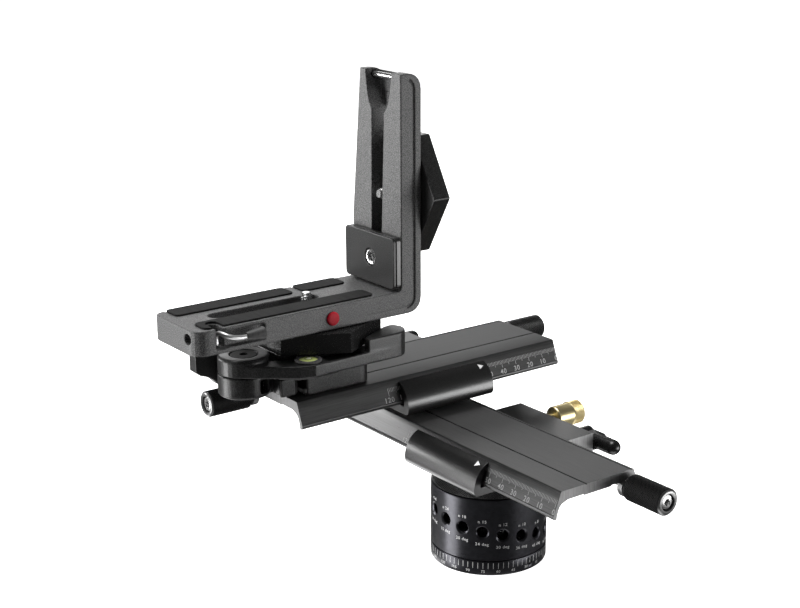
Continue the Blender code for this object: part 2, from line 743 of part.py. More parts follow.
def clamp_lever(moving):
    """The hub turns on the clamp's boss. The parent lies on the pivot, and points are from there."""
    def near(points):
        return [(x * MM - PIVOT.x, y * MM - PIVOT.y) for x, y in points]

    hub = [(4.3 * MM, 109 * MM), (HUB_RADIUS, 109 * MM), (HUB_RADIUS, 117.2 * MM),
           (HUB_RADIUS - 1.2 * MM, 118.4 * MM), (7.5 * MM, 118.4 * MM), (7.5 * MM, 116 * MM),
           (4.3 * MM, 116 * MM)]
    lever = finish("clamp_lever", turned(hub, 32), "casting_black", moving)
    end = [(x / MM, y / MM) for x, y in arc((-34.6 * MM, 46.8 * MM), 10.4 * MM, -90, 0, 6)]
    end.append((-26.6, 52.2))
    arm = near([(-121.0, 58.0), (-113.0, 51.2), (-104.0, 44.4), (-95.5, 38.4), (-87.0, 35.6)]
               + end + [(-33.0, 51.9), (-53.0, 47.6), (-75.0, 50.4), (-92.0, 51.4), (-99.6, 55.2)])
    arm_low = 109.0 * MM
    join(lever, prism(arm, arm_low, 115.6 * MM))
    cut(lever, rod(4.3 * MM, 100 * MM, 116.5 * MM, 20))
    skirt = near([(-103.0, 46.2), (-95.5, 39.6), (-87.0, 36.8), (-76.0, 37.4), (-71.0, 37.6),
                  (-71.0, 49.0), (-84.5, 49.6), (-100.0, 51.0)])
    join(lever, prism(skirt, 107.9 * MM, 111 * MM))
    grip = near([(-53.0, 36.4)] + end + [(-33.5, 51.2), (-53.0, 40.9)])
    join(lever, prism(grip, 113 * MM, 122.6 * MM))
    cup = rod(6.0 * MM, 111.4 * MM, 120 * MM, 24)
    cut(lever, cup, location=(-86.5 * MM - PIVOT.x, 43.8 * MM - PIVOT.y, 0))


def spirit_level(moving):
    place = (-86.5 * MM - PIVOT.x, 43.8 * MM - PIVOT.y, 0)
    cup = [(0, 111.7 * MM), (5.7 * MM, 111.7 * MM), (5.7 * MM, 115.9 * MM), (7.2 * MM, 115.9 * MM),
           (7.2 * MM, 116.6 * MM), (6.6 * MM, 117.2 * MM), (5.0 * MM, 117.2 * MM),
           (5.0 * MM, 113.0 * MM), (0, 113.0 * MM)]
    finish("level_cup", turned(cup, 28), "moulded_grey", moving, location=place)
    vial = [(0, 113.3 * MM), (4.7 * MM, 113.3 * MM), (4.7 * MM, 116.2 * MM), (2.8 * MM, 116.7 * MM),
            (0, 116.9 * MM)]
    finish("level_vial", turned(vial, 24), "vial_green", moving, location=place)


def lever_pivot():
    profile = [(0, 96.0 * MM), (4.0 * MM, 96.0 * MM), (4.0 * MM, 116.3 * MM), (7.2 * MM, 116.3 * MM),
               (7.2 * MM, 118.2 * MM), (0, 118.2 * MM)]
    finish("lever_pivot", turned(profile, 24), "steel", location=(PIVOT.x, PIVOT.y, 0))


def torsion_spring():
    """Four turns of wire around the pivot, inside the boss."""
    turns = 4
    per_turn = 12
    radius = 8.4 * MM
    curve = bpy.data.curves.new("torsion_spring", "CURVE")
    curve.dimensions = "3D"
    curve.bevel_depth = 0.7 * MM
    curve.bevel_resolution = 0
    curve.use_fill_caps = True
    spline = curve.splines.new("POLY")
    spline.points.add(turns * per_turn)
    for index, point in enumerate(spline.points):
        angle = 2 * math.pi * index / per_turn
        height = 100.6 * MM + 6.8 * MM * index / (turns * per_turn)
        point.co = (radius * math.cos(angle), radius * math.sin(angle), height, 1)
    curve.materials.append(material("steel"))
    spring = bpy.data.objects.new("torsion_spring", curve)
    spring.location = (PIVOT.x, PIVOT.y, 0)
    bpy.context.scene.collection.objects.link(spring)


def safety_catch(moving):
    """A thumb catch beside the boss. The parent lies on its pivot."""
    outline = arc((0, 0), 6.6 * MM, -60, 210, 14)
    outline += [(-7.2 * MM, -7.0 * MM), (0.8 * MM, -8.0 * MM)]
    finish("safety_catch", prism(outline, 97.4 * MM, 106.8 * MM), "casting_black", moving)


def plate_outline():
    """The quick-release plate's outline about its screw: a square back and a V front."""
    return [
        (0, -FOOT_APEX),
        (FOOT_HALF, -FOOT_SHOULDER),
        (FOOT_HALF, FOOT_BACK),
        (-FOOT_HALF, FOOT_BACK),
        (-FOOT_HALF, -FOOT_SHOULDER),
    ]


def foot_plate():
    outline = [(x + FOOT_X, y + CENTRE_Y) for x, y in plate_outline()]
    plate = finish("foot_plate", prism(outline, FOOT_LOW, FOOT_HIGH), "casting_black")
    recess = rounded_box((-92.5 * MM, CENTRE_Y - 9 * MM), (-57 * MM, CENTRE_Y + 9 * MM), 6 * MM)
    cut(plate, prism(recess, FOOT_LOW - MM, 125 * MM))
    slot = rounded_box((-88 * MM, CENTRE_Y - 3.8 * MM), (-62.5 * MM, CENTRE_Y + 3.8 * MM), 3.7 * MM)
    cut(plate, prism(slot, 124 * MM, FOOT_HIGH + MM))


def camera_screw(moving):
    """The 1/4 inch screw that stands up through the arm's slot. The parent lies on its axis."""
    profile = [(0, 118.6 * MM), (7.6 * MM, 118.6 * MM), (8.2 * MM, 119.2 * MM),
               (8.2 * MM, 124.6 * MM), (3.1 * MM, 124.6 * MM), (3.1 * MM, 144.3 * MM),
               (2.4 * MM, 145.1 * MM), (0, 145.1 * MM)]
    finish("camera_screw", turned(profile, 24), "steel", moving)


# ---------------------------------------------------------------- L-bracket


def bracket_section():
    """The bracket's side view in x and z: the arm, the round heel and the upright."""
    heel = 8 * MM
    crown = 8 * MM
    inner = 2 * MM
    outline = [(ARM_LEFT, ARM_LOW)]
    outline += arc((WALL_OUTSIDE - heel, ARM_LOW + heel), heel, -90, 0, 6)
    outline += arc((WALL_OUTSIDE - crown, WALL_TOP - crown), crown, 0, 90, 6)
    outline += [(WALL_INSIDE, WALL_TOP)]
    outline += arc((WALL_INSIDE - inner, ARM_TOP + inner), inner, 0, -90, 4)
    outline += [(ARM_LEFT, ARM_TOP)]
    return outline


def arm_plan():
    """The arm's plan view, with its left corners rounded. It is longer than the bracket."""
    left = ARM_LEFT
    outline = [(20 * MM, ARM_FRONT), (20 * MM, ARM_BACK)]
    outline += arc((left + 6 * MM, ARM_BACK - 6 * MM), 6 * MM, 90, 180, 5)
    outline += arc((left + 8 * MM, ARM_FRONT + 8 * MM), 8 * MM, 180, 270, 6)
    return outline


def l_bracket():
    section = prism(bracket_section(), 30 * MM, 110 * MM, "Y")
    bracket = finish("l_bracket", section, "powder_grey")
    plan = boolean(bracket, prism(arm_plan(), 100 * MM, 280 * MM), "INTERSECT")
    plan.name = "l_bracket_plan"
    taper_back = [(ARM_BACK + 1 * MM, 168 * MM), (ARM_BACK + 20 * MM, 168 * MM),
                  (ARM_BACK + 20 * MM, 270 * MM), (80.6 * MM, 270 * MM)]
    cut(bracket, prism(taper_back, -40 * MM, 0, "X"))
    slot = rounded_box((-131.2 * MM, SLOT_Y - 4.4 * MM), (-64.6 * MM, SLOT_Y + 4.4 * MM), 4.3 * MM)
    cut(bracket, prism(slot, 120 * MM, 150 * MM))
    tall = [(63.3 * MM, 150 * MM), (72.4 * MM, 150 * MM), (72.4 * MM, 172 * MM),
            (71.2 * MM, 246 * MM), (60.0 * MM, 246 * MM), (63.3 * MM, 172 * MM)]
    cut(bracket, prism(tall, -30 * MM, -5 * MM, "X"))
    half_throat = [(5.4 * MM, 237 * MM), (8.2 * MM, 241 * MM), (9.8 * MM, 246 * MM),
                   (11.3 * MM, 256 * MM), (11.6 * MM, 262 * MM)]
    throat = [(THROAT_Y + half, z) for half, z in half_throat]
    throat += [(THROAT_Y - half, z) for half, z in reversed(half_throat)]
    cut(bracket, prism(throat, -30 * MM, -15.6 * MM, "X"))
    pin_hole = rod(PIN_RADIUS + GAP, 52 * MM, 80 * MM, 16)
    cut(bracket, pin_hole, location=(PIN_X, 0, PIN_Z), rotation=LAY_ALONG_Y)
    notch = rounded_box((-139.4 * MM, 40 * MM), (-133.8 * MM, 56.8 * MM), 2.7 * MM)
    cut(bracket, prism(notch, 131.4 * MM, 150 * MM))
    cut(bracket, box((-135 * MM, 40 * MM, 131.8 * MM), (-111 * MM, 47.8 * MM, 140.6 * MM)))
    heel = (-21.4 * MM, 137.6 * MM)
    groove = [(-48 * MM, 132.1 * MM)]
    groove += arc(heel, 5.5 * MM, -90, 0, 6)
    groove += arc((-22.4 * MM, 250 * MM), 6.5 * MM, 0, 60, 5)
    groove += arc((-22.4 * MM, 250 * MM), 5.5 * MM, 60, 0, 5)
    groove += arc(heel, 4.5 * MM, 0, -90, 6)
    groove += [(-48 * MM, 133.1 * MM)]
    cut(bracket, prism(groove, ARM_FRONT - MM, ARM_FRONT + MM, "Y"))
    cut(bracket, rod(2.9 * MM, -MM, 14 * MM, 16),
        location=(ARM_LEFT, 53.8 * MM, 137.2 * MM), rotation=LAY_ALONG_X)
    for name in PADS:
        cut(bracket, prism(pad_outline(name, GAP), ARM_TOP - PAD_SUNK, ARM_TOP + MM))


def pad_outline(name, grow):
    """A pad's outline, or with grow its pocket's. The rear pads' pockets run out at the back."""
    low, high, radius = PADS[name]
    back = high[1] + (2 * MM if grow and high[1] > SLOT_Y else grow)
    return rounded_box((low[0] - grow, low[1] - grow), (high[0] + grow, back), radius, 5)


def pads():
    low = ARM_TOP - PAD_SUNK + GAP
    high = ARM_TOP + PAD_PROUD
    for name in PADS:
        finish(name, prism(pad_outline(name, 0), low, high), "rubber")
    notch = rounded_box((-140.2 * MM, 40 * MM), (-133.0 * MM, 57.6 * MM), 3.5 * MM)
    cut(bpy.data.objects["front_pad"], prism(notch, low - MM, high + MM))


def badge():
    profile = [(0, 0), (3.7 * MM, 0), (3.7 * MM, 0.5 * MM), (3.2 * MM, 0.9 * MM), (0, MM)]
    finish("badge", turned(profile, 24), "badge_red",
           location=(-69.8 * MM, ARM_FRONT - GAP, 135.2 * MM), rotation=(math.pi / 2, 0, 0))


def stop_lever(moving):
    """Bent wire on a vertical pivot in the notch, with a tapered sleeve. The parent is its axis."""
    path = [(0, 0, 132.6), (0, 0, 136.4), (0.2, -1.0, 138.4), (0.6, -3.4, 139.2),
            (1.4, -6.4, 138.8), (3.2, -8.2, 138.0), (6.0, -8.9, 137.2), (11.8, -8.9, 136.6),
            (16.0, -8.9, 136.8)]
    curve = bpy.data.curves.new("stop_lever", "CURVE")
    curve.dimensions = "3D"
    curve.bevel_depth = 1.25 * MM
    curve.bevel_resolution = 2
    curve.use_fill_caps = True
    spline = curve.splines.new("POLY")
    spline.points.add(len(path) - 1)
    for point, place in zip(spline.points, path):
        point.co = (place[0] * MM, place[1] * MM, place[2] * MM, 1)
    curve.materials.append(material("steel"))
    wire = bpy.data.objects.new("stop_lever", curve)
    wire.parent = moving
    bpy.context.scene.collection.objects.link(wire)
    sleeve = [(0, 4.2 * MM), (1.6 * MM, 4.2 * MM), (1.6 * MM, 0), (2.0 * MM, 0),
              (3.4 * MM, 9.6 * MM), (3.0 * MM, 10.4 * MM), (0, 10.4 * MM)]
    finish("stop_lever_sleeve", turned(sleeve, 20), "moulded_grey", moving,
           location=(12.4 * MM, -8.9 * MM, 136.6 * MM), rotation=(0, math.radians(88), 0))


def backstop(moving):
    """Two stacked plates on the upright's inner face. The parent lies at their screw."""
    low = 143.7 * MM - BACKSTOP_Z
    high = 171.8 * MM - BACKSTOP_Z
    front = ARM_FRONT - 0.2 * MM - WALL_SLOT_Y
    back = ARM_BACK - WALL_SLOT_Y
    outline = rounded_box((front, low), (back, high), 2.5 * MM)
    for name, left, right, bore, colour in (
        ("backstop_plate", -30.4, -28.6, 5.0, "casting_black"),
        ("backstop_slider", -28.2, -25.5, 3.2, "brushed_aluminium"),
    ):
        plate = finish(name, prism(outline, left * MM, right * MM, "X"), colour, moving)
        cut(plate, rod(bore * MM, -35 * MM, -20 * MM, 24), rotation=LAY_ALONG_X)
    screw = [(0, -30.0 * MM), (4.6 * MM, -30.0 * MM), (4.6 * MM, -28.5 * MM), (2.9 * MM, -28.5 * MM),
             (2.9 * MM, -12.0 * MM), (0, -12.0 * MM)]
    finish("backstop_screw", turned(screw, 24), "steel", moving, rotation=LAY_ALONG_X)


def side_plate(moving):
    """The quick-release plate on the upright's outer face. The parent lies at its screw."""
    outline = [(y, x) for x, y in plate_outline()]
    plate = finish("side_plate", prism(outline, -11.2 * MM, -0.4 * MM, "X"), "casting_black", moving)
    cut(plate, rod(9 * MM, -7.5 * MM, 1 * MM, 28), rotation=LAY_ALONG_X)
    cut(plate, rod(3.6 * MM, -12 * MM, -7 * MM, 16), rotation=LAY_ALONG_X)
    screw = [(0, -24.4 * MM), (3.1 * MM, -24.4 * MM), (3.1 * MM, -7.1 * MM), (8.4 * MM, -7.1 * MM),
             (8.4 * MM, -1.4 * MM), (0, -1.4 * MM)]
    finish("side_plate_screw", turned(screw, 24), "steel", moving, rotation=LAY_ALONG_X)


def top_pin():
    finish("top_pin", rod(PIN_RADIUS, 52.6 * MM, 79.4 * MM, 16), "steel",
           location=(PIN_X, 0, PIN_Z), rotation=LAY_ALONG_Y)


# ---------------------------------------------------------------- assembly


def pan_unit():
    base_ring(None)
    tripod_bush(None)
    index_core(None)
    spindle(None)
    pan_axis = empty("pan_axis")
    index_drum(pan_axis)
    turn = (0, 0, math.radians(PLUNGER_ANGLE))
    plunger_axis = empty("plunger_axis", (0, 0, PLUNGER_HEIGHT), turn, pan_axis)
    index_plunger(pan_axis, plunger_axis)
    lock_ring(empty("pan_lock_axis", parent=pan_axis))


def clamp():
    clamp_body()
    clamp_bolt()
    lever_axis = empty("clamp_lever_axis", (PIVOT.x, PIVOT.y, 0))
    clamp_lever(lever_axis)
    spirit_level(lever_axis)
    lever_pivot()
    torsion_spring()
    safety_catch(empty("safety_catch_axis", (-94.2 * MM, 54.4 * MM, 0)))


def bracket():
    foot_plate()
    camera_screw(empty("camera_screw_axis", (CAMERA_SCREW_X, SLOT_Y, 0)))
    l_bracket()
    pads()
    badge()
    stop_lever(empty("stop_lever_axis", (STOP_PIVOT.x, STOP_PIVOT.y, 0)))
    backstop(empty("backstop_axis", (0, WALL_SLOT_Y, BACKSTOP_Z)))
    side_plate(empty("side_plate_axis", (0, WALL_SLOT_Y, SIDE_Z)))
    top_pin()


def build():
    clear_scene()
    pan_unit()
    sliding_unit("lower", (0, 0, LOWER_TOP), -math.pi / 2, LOWER_ZERO_END)
    sliding_unit("upper", (0, CENTRE_Y, UPPER_TOP), 0, UPPER_ZERO_END)
    adapter_plate()
    clamp()
    bracket()


build()
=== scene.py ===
"""Looks for the two-axis panoramic slider head.

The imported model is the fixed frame. Castings are its solids with rounded edges, machined parts are
modelled again with their knurls, threads and chamfers, and the scales and numerals are thin marks.
Lengths are in metres; places come from the frame's boxes.
"""

import json
import math

import bmesh
import bpy
from mathutils import Matrix, Vector

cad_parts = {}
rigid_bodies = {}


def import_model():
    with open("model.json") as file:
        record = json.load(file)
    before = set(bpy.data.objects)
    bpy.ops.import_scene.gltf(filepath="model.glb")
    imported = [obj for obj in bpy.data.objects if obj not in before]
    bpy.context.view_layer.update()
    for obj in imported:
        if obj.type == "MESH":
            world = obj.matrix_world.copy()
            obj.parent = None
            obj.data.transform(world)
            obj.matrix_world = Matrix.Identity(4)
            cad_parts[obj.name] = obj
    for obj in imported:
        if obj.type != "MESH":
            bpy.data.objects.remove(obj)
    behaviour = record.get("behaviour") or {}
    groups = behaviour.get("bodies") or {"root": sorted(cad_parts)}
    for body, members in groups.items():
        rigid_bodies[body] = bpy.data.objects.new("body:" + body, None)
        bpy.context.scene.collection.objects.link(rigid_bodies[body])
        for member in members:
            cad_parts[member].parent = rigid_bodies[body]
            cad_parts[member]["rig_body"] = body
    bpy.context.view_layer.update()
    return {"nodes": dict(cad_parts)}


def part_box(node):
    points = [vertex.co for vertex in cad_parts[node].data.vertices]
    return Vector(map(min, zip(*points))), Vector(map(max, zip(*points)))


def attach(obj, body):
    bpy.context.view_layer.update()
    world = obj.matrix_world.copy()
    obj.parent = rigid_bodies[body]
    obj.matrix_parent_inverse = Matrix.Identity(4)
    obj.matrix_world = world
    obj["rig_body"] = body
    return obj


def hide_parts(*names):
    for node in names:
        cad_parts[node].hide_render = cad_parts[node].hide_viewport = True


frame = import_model()

MM = 0.001
SKIN = 0.03 * MM
WELD = 0.005 * MM
NODES = frame["nodes"]

# ---- materials


class Shader:
    """A Principled material and short calls for the nodes that feed it."""

    def __init__(self, name, colour, roughness, metallic=0.0, **sockets):
        self.material = bpy.data.materials.new(name)
        self.material.use_nodes = True
        self.tree = self.material.node_tree
        self.out = self.tree.nodes["Principled BSDF"]
        self.out.inputs["Base Color"].default_value = (*colour, 1)
        self.out.inputs["Roughness"].default_value = roughness
        self.out.inputs["Metallic"].default_value = metallic
        for socket, value in sockets.items():
            title = socket.replace("_", " ").title().replace("Ior", "IOR")
            self.out.inputs[title].default_value = value
        self.place = self.node("ShaderNodeTexCoord").outputs["Object"]

    def node(self, kind, **settings):
        made = self.tree.nodes.new(kind)
        for name, value in settings.items():
            setattr(made, name, value)
        return made

    def wire(self, source, target):
        self.tree.links.new(source, target)

    def stretched(self, scale):
        mapping = self.node("ShaderNodeMapping")
        mapping.inputs["Scale"].default_value = scale
        self.wire(self.place, mapping.inputs["Vector"])
        return mapping.outputs["Vector"]

    def noise(self, size, detail=3.0, stretch=(1, 1, 1)):
        """Noise whose blots are about size metres across."""
        made = self.node("ShaderNodeTexNoise")
        made.inputs["Scale"].default_value = 1 / size
        made.inputs["Detail"].default_value = detail
        self.wire(self.stretched(stretch), made.inputs["Vector"])
        return made.outputs["Fac"]

    def ramp(self, source, low, high, first, last):
        made = self.node("ShaderNodeValToRGB")
        made.color_ramp.elements[0].position = low
        made.color_ramp.elements[1].position = high
        made.color_ramp.elements[0].color = (*first, 1)
        made.color_ramp.elements[1].color = (*last, 1)
        self.wire(source, made.inputs["Fac"])
        return made.outputs["Color"]

    def remap(self, source, low, high):
        made = self.node("ShaderNodeMapRange")
        made.inputs["To Min"].default_value = low
        made.inputs["To Max"].default_value = high
        self.wire(source, made.inputs["Value"])
        return made.outputs["Result"]

    def colour_from(self, source):
        self.wire(source, self.out.inputs["Base Color"])

    def roughness_from(self, source):
        self.wire(source, self.out.inputs["Roughness"])

    def bump(self, source, height, strength=1.0):
        made = self.node("ShaderNodeBump")
        made.inputs["Distance"].default_value = height
        made.inputs["Strength"].default_value = strength
        self.wire(source, made.inputs["Height"])
        self.wire(made.outputs["Normal"], self.out.inputs["Normal"])


def grey(value, tint=0.0):
    return (value, value, value * (1 + tint))


def mottled(name, colour, roughness, blots, low, high, spread=(0.2, 0.8), worn=None, **sockets):
    """Colour that wanders from low to high in blots of (size, detail), and roughness over worn."""
    shader = Shader(name, colour, roughness, **sockets)
    cloud = shader.noise(*blots)
    shader.colour_from(shader.ramp(cloud, *spread, low, high))
    if worn:
        shader.roughness_from(shader.remap(cloud, *worn))
    return shader


def powder_coat():
    """Speckled grey powder coat: fine light grains on a dark ground, slightly pebbled."""
    shader = mottled("powder_coat", grey(0.08), 0.5, (0.42 * MM, 4), grey(0.012), grey(0.19),
                     (0.4, 0.72), (0.42, 0.62))
    shader.bump(shader.noise(0.55 * MM, 3), 0.12 * MM, 0.6)
    return shader


def cast_paint():
    """Satin black paint over a casting, with a fine orange peel."""
    shader = mottled("cast_paint", grey(0.03), 0.34, (0.4 * MM, 4), grey(0.005), grey(0.06),
                     (0.42, 0.74), specular_ior_level=0.35)
    shader.roughness_from(shader.remap(shader.noise(2.5 * MM), 0.28, 0.4))
    shader.bump(shader.noise(0.7 * MM, 3), 0.11 * MM, 0.5)
    return shader


def brushed(name, low, high, roughness, stretch, metallic=0.9):
    """Extruded, brushed and anodised metal: long fine lines along the part."""
    shader = Shader(name, grey(high), roughness, metallic)
    lines = shader.noise(0.35 * MM, 3, stretch)
    shader.colour_from(shader.ramp(lines, 0.3, 0.7, grey(low), grey(high)))
    shader.roughness_from(shader.remap(lines, roughness - 0.06, roughness + 0.08))
    shader.bump(lines, 0.01 * MM, 0.25)
    return shader


def satin_anodised():
    """Fine-turned black anodised aluminium."""
    shader = mottled("satin_anodised", grey(0.022, 0.15), 0.3, (3 * MM, 4), grey(0.026, 0.15),
                     grey(0.038, 0.15), (0.3, 0.7), metallic=0.75)
    rings = shader.noise(0.3 * MM, 2, (0.05, 0.05, 1))
    shader.roughness_from(shader.remap(rings, 0.24, 0.36))
    shader.bump(rings, 0.01 * MM, 0.25)
    return shader


def gloss_anodised():
    """The jaws: a smooth, deep black."""
    shader = mottled("gloss_anodised", grey(0.08), 0.3, (0.5 * MM, 2), grey(0.07), grey(0.1),
                     metallic=0.92)
    shader.roughness_from(shader.remap(shader.noise(4 * MM), 0.26, 0.33))
    return shader


def ribbed_rubber():
    """Rubber with fine ribs across the arm."""
    shader = Shader("ribbed_rubber", grey(0.008), 0.8, specular_ior_level=0.22)
    ribs = shader.noise(0.55 * MM, 1, (1, 0.02, 1))
    shader.colour_from(shader.ramp(ribs, 0.35, 0.65, grey(0.004), grey(0.02)))
    shader.roughness_from(shader.remap(ribs, 0.7, 0.9))
    shader.bump(ribs, 0.12 * MM, 0.6)
    return shader


def moulded_plastic():
    shader = mottled("moulded_plastic", grey(0.05), 0.32, (1.2 * MM, 3), grey(0.035), grey(0.065),
                     (0.3, 0.7), (0.5, 0.6))
    shader.bump(shader.noise(0.2 * MM), 0.01 * MM, 0.3)
    return shader


def steel(name, level, roughness, blots, low, high, worn):
    return mottled(name, level, roughness, blots, grey(low), grey(high), worn=worn, metallic=1.0)


def ink(name, level, roughness, low, high):
    return mottled(name, grey(level), roughness, (0.25 * MM, 3), grey(low), grey(high), (0.25, 0.6))


def faint_ink(name, level):
    return ink(name, level, 0.5, level * 0.8, level * 1.2)


SHADERS = {
    "powder": powder_coat(),
    "cast": cast_paint(),
    # The two sliding plates are one anodising in lit and shaded copies: the lower plate's faces are
    # painted darker, the upper deck is painted darker and the lower deck lighter, as painted shade
    # and light for how each unit is lit.
    "plate_upper": brushed("plate_upper", 0.055, 0.08, 0.4, (0.02, 1, 1)),
    "plate_lower": brushed("plate_lower", 0.045, 0.065, 0.3, (1, 0.02, 1)),
    "deck_upper": brushed("deck_upper", 0.03, 0.055, 0.5, (0.02, 1, 1), 0.6),
    "deck_lower": brushed("deck_lower", 0.06, 0.09, 0.55, (1, 0.02, 1), 0.3),
    "pale_brushed": brushed("pale_brushed", 0.15, 0.24, 0.45, (1, 1, 0.04)),
    "block": brushed("bare_brushed", 0.32, 0.55, 0.34, (1, 1, 0.04), 1.0),
    "satin": satin_anodised(),
    "gloss": gloss_anodised(),
    "knurl": mottled("knurled_black", grey(0.016), 0.36, (0.6 * MM, 3), grey(0.01), grey(0.05),
                     (0.35, 0.8), (0.3, 0.42), metallic=0.6),
    "steel": steel("bare_steel", grey(0.5, 0.01), 0.26, (0.25 * MM, 3), 0.45, 0.62, (0.2, 0.32)),
    "wire": steel("satin_wire", grey(0.6), 0.4, (0.3 * MM, 3), 0.55, 0.72, (0.36, 0.46)),
    "brass": mottled("polished_brass", (0.8, 0.68, 0.38), 0.14, (0.4 * MM, 3), (0.7, 0.58, 0.3),
                     (0.88, 0.76, 0.45), worn=(0.34, 0.4), metallic=1.0),
    "rubber": ribbed_rubber(),
    "plastic": moulded_plastic(),
    "ink": ink("white_ink", 0.8, 0.6, 0.7, 0.95),
    "dial_ink": faint_ink("dial_ink", 0.6),
    # The upper and lower scales are one white print: both inks are dimmed, the lower one far more, as
    # painted shade for how dimly each plate's face is lit.
    "upper_ink": faint_ink("upper_ink", 0.5),
    "lower_ink": faint_ink("lower_ink", 0.17),
    "red": mottled("red_enamel", (0.5, 0.006, 0.02), 0.5, (1.5 * MM, 2), (0.42, 0.004, 0.016),
                   (0.58, 0.008, 0.026), specular_ior_level=0.15),
    "fluid": mottled("level_fluid", (0.72, 0.85, 0.25), 0.08, (3 * MM, 2), (0.6, 0.74, 0.16),
                     (0.86, 0.92, 0.45), coat_weight=1.0),
    "paint": mottled("gloss_paint", grey(0.008), 0.26, (1.2 * MM, 2), grey(0.006), grey(0.012),
                     worn=(0.23, 0.3)),
    # Flat black put where parts lie in shade: painted shade on the lever's pivot head and in the side
    # screw's slot.
    "dark": mottled("painted_shade_black", grey(0.005), 0.7, (MM, 2), grey(0.003), grey(0.008)),
    "ring": mottled("dark_ring", grey(0.01), 0.4, (MM, 2), grey(0.006), grey(0.02)),
    "bubble": mottled("pale_bubble", (0.9, 0.95, 0.7), 0.1, (MM, 2), (0.85, 0.9, 0.6),
                      (0.96, 0.98, 0.85), coat_weight=1.0),
    # A light grey on the knob's end rim: a painted highlight where its chamfer catches the light.
    "rim": brushed("rim_painted_highlight", 0.17, 0.24, 0.3, (1, 1, 1)),
    "plate_edge": brushed("slider_brushed", 0.05, 0.1, 0.35, (1, 0.03, 1)),
}
MATERIALS = {name: shader.material for name, shader in SHADERS.items()}

# ---- modelling tools


def near(x, y, *steps):
    """Points at steps in millimetres from (x, y)."""
    return [(x + across * MM, y + up * MM) for across, up in steps]


def shaded(obj, angle):
    """Smooth shading with sharp edges where faces meet at more than an angle in degrees."""
    obj.data.shade_smooth()
    obj.data.set_sharp_from_angle(angle=math.radians(angle))
    return obj


def linked(name, bm, material):
    """A bmesh as an object in the scene."""
    mesh = bpy.data.meshes.new(name)
    bm.to_mesh(mesh)
    bm.free()
    mesh.materials.append(material)
    obj = bpy.data.objects.new(name, mesh)
    bpy.context.scene.collection.objects.link(obj)
    return obj


def made(name, bm, colour, body, place=None, angle=32):
    """A new piece that rides on a body. Its mesh is in the frame's metres."""
    if place:
        moved(bm, place)
    bmesh.ops.recalc_face_normals(bm, faces=bm.faces)
    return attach(shaded(linked(name, bm, MATERIALS[colour]), angle), body)


def stand_for(node, bm, colour, place=None, angle=32):
    """A new piece in place of a CAD node, on the node's own body and with the given material."""
    obj = made(f"{node}_shell", bm, colour, NODES[node]["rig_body"], place, angle)
    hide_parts(node)
    return obj


def chamfer(obj, width, segments=2, angle=30):
    edge = obj.modifiers.new("edges", "BEVEL")
    edge.width = width
    edge.segments = segments
    edge.limit_method = "ANGLE"
    edge.angle_limit = math.radians(angle)
    edge.harden_normals = True
    return obj


def applied(obj):
    """Puts the object's modifiers into its mesh."""
    graph = bpy.context.evaluated_depsgraph_get()
    mesh = bpy.data.meshes.new_from_object(obj.evaluated_get(graph))
    obj.modifiers.clear()
    obj.data = mesh
    return obj


def prism(outline, low, high, axis="Z"):
    """An outline of 2D points, extruded along an axis. Its coordinates are the other two axes."""
    place = {
        "Z": lambda a, b, c: (a, b, c),
        "X": lambda a, b, c: (c, a, b),
        "Y": lambda a, b, c: (a, c, b),
    }[axis]
    bm = bmesh.new()
    face = bm.faces.new([bm.verts.new(place(a, b, low)) for a, b in outline])
    sides = bmesh.ops.extrude_face_region(bm, geom=[face])["geom"]
    moved = [item for item in sides if isinstance(item, bmesh.types.BMVert)]
    bmesh.ops.translate(bm, verts=moved, vec=place(0, 0, high - low))
    return bm


def is_knurled(rings, order):
    return order + 1 < len(rings) and len(rings[order]) == 3 and len(rings[order + 1]) == 3


def lathe(rings, steps=48, closed=False):
    """A solid of revolution about Z from rings of (radius, height, knurl depth). A closed one's
    last ring joins its first, as a tube's does.

    A knurled ring's points stand in and out by turns, and the next ring's the other way round, so
    that a row of such rings is cut into diamonds.
    """
    bm = bmesh.new()
    rows = []
    for order, (radius, height, *depth) in enumerate(rings):
        deep = depth[0] if depth else 0
        if radius == 0:
            rows.append([bm.verts.new((0, 0, height))])
            continue
        row = []
        for step in range(steps):
            reach = radius - deep * ((step + order) % 2)
            angle = 2 * math.pi * step / steps
            row.append(bm.verts.new((reach * math.cos(angle), reach * math.sin(angle), height)))
        rows.append(row)
    if closed:
        rows.append(rows[0])
    for order, (first, second) in enumerate(zip(rows, rows[1:])):
        for step in range(steps):
            after = (step + 1) % steps
            corners = [first[step % len(first)], first[after % len(first)],
                       second[after % len(second)], second[step % len(second)]]
            if (step + order) % 2:
                corners = corners[1:] + corners[:1]
            loop = list(dict.fromkeys(corners))
            if len(loop) == 4 and is_knurled(rings, order):
                bm.faces.new([loop[0], loop[1], loop[2]])
                bm.faces.new([loop[0], loop[2], loop[3]])
            else:
                bm.faces.new(loop)
    return bm


def knurl(radius, low, high, pitch, depth):
    """Rings for lathe() that cut diamonds between two heights."""
    count = 2 * round((high - low) / pitch)
    step = (high - low) / count
    return [(radius, low + step * index, depth) for index in range(count + 1)]


def around(radius, pitch):
    """An even number of lathe steps that gives knurl diamonds of the pitch."""
    return 2 * round(2 * math.pi * radius / pitch)


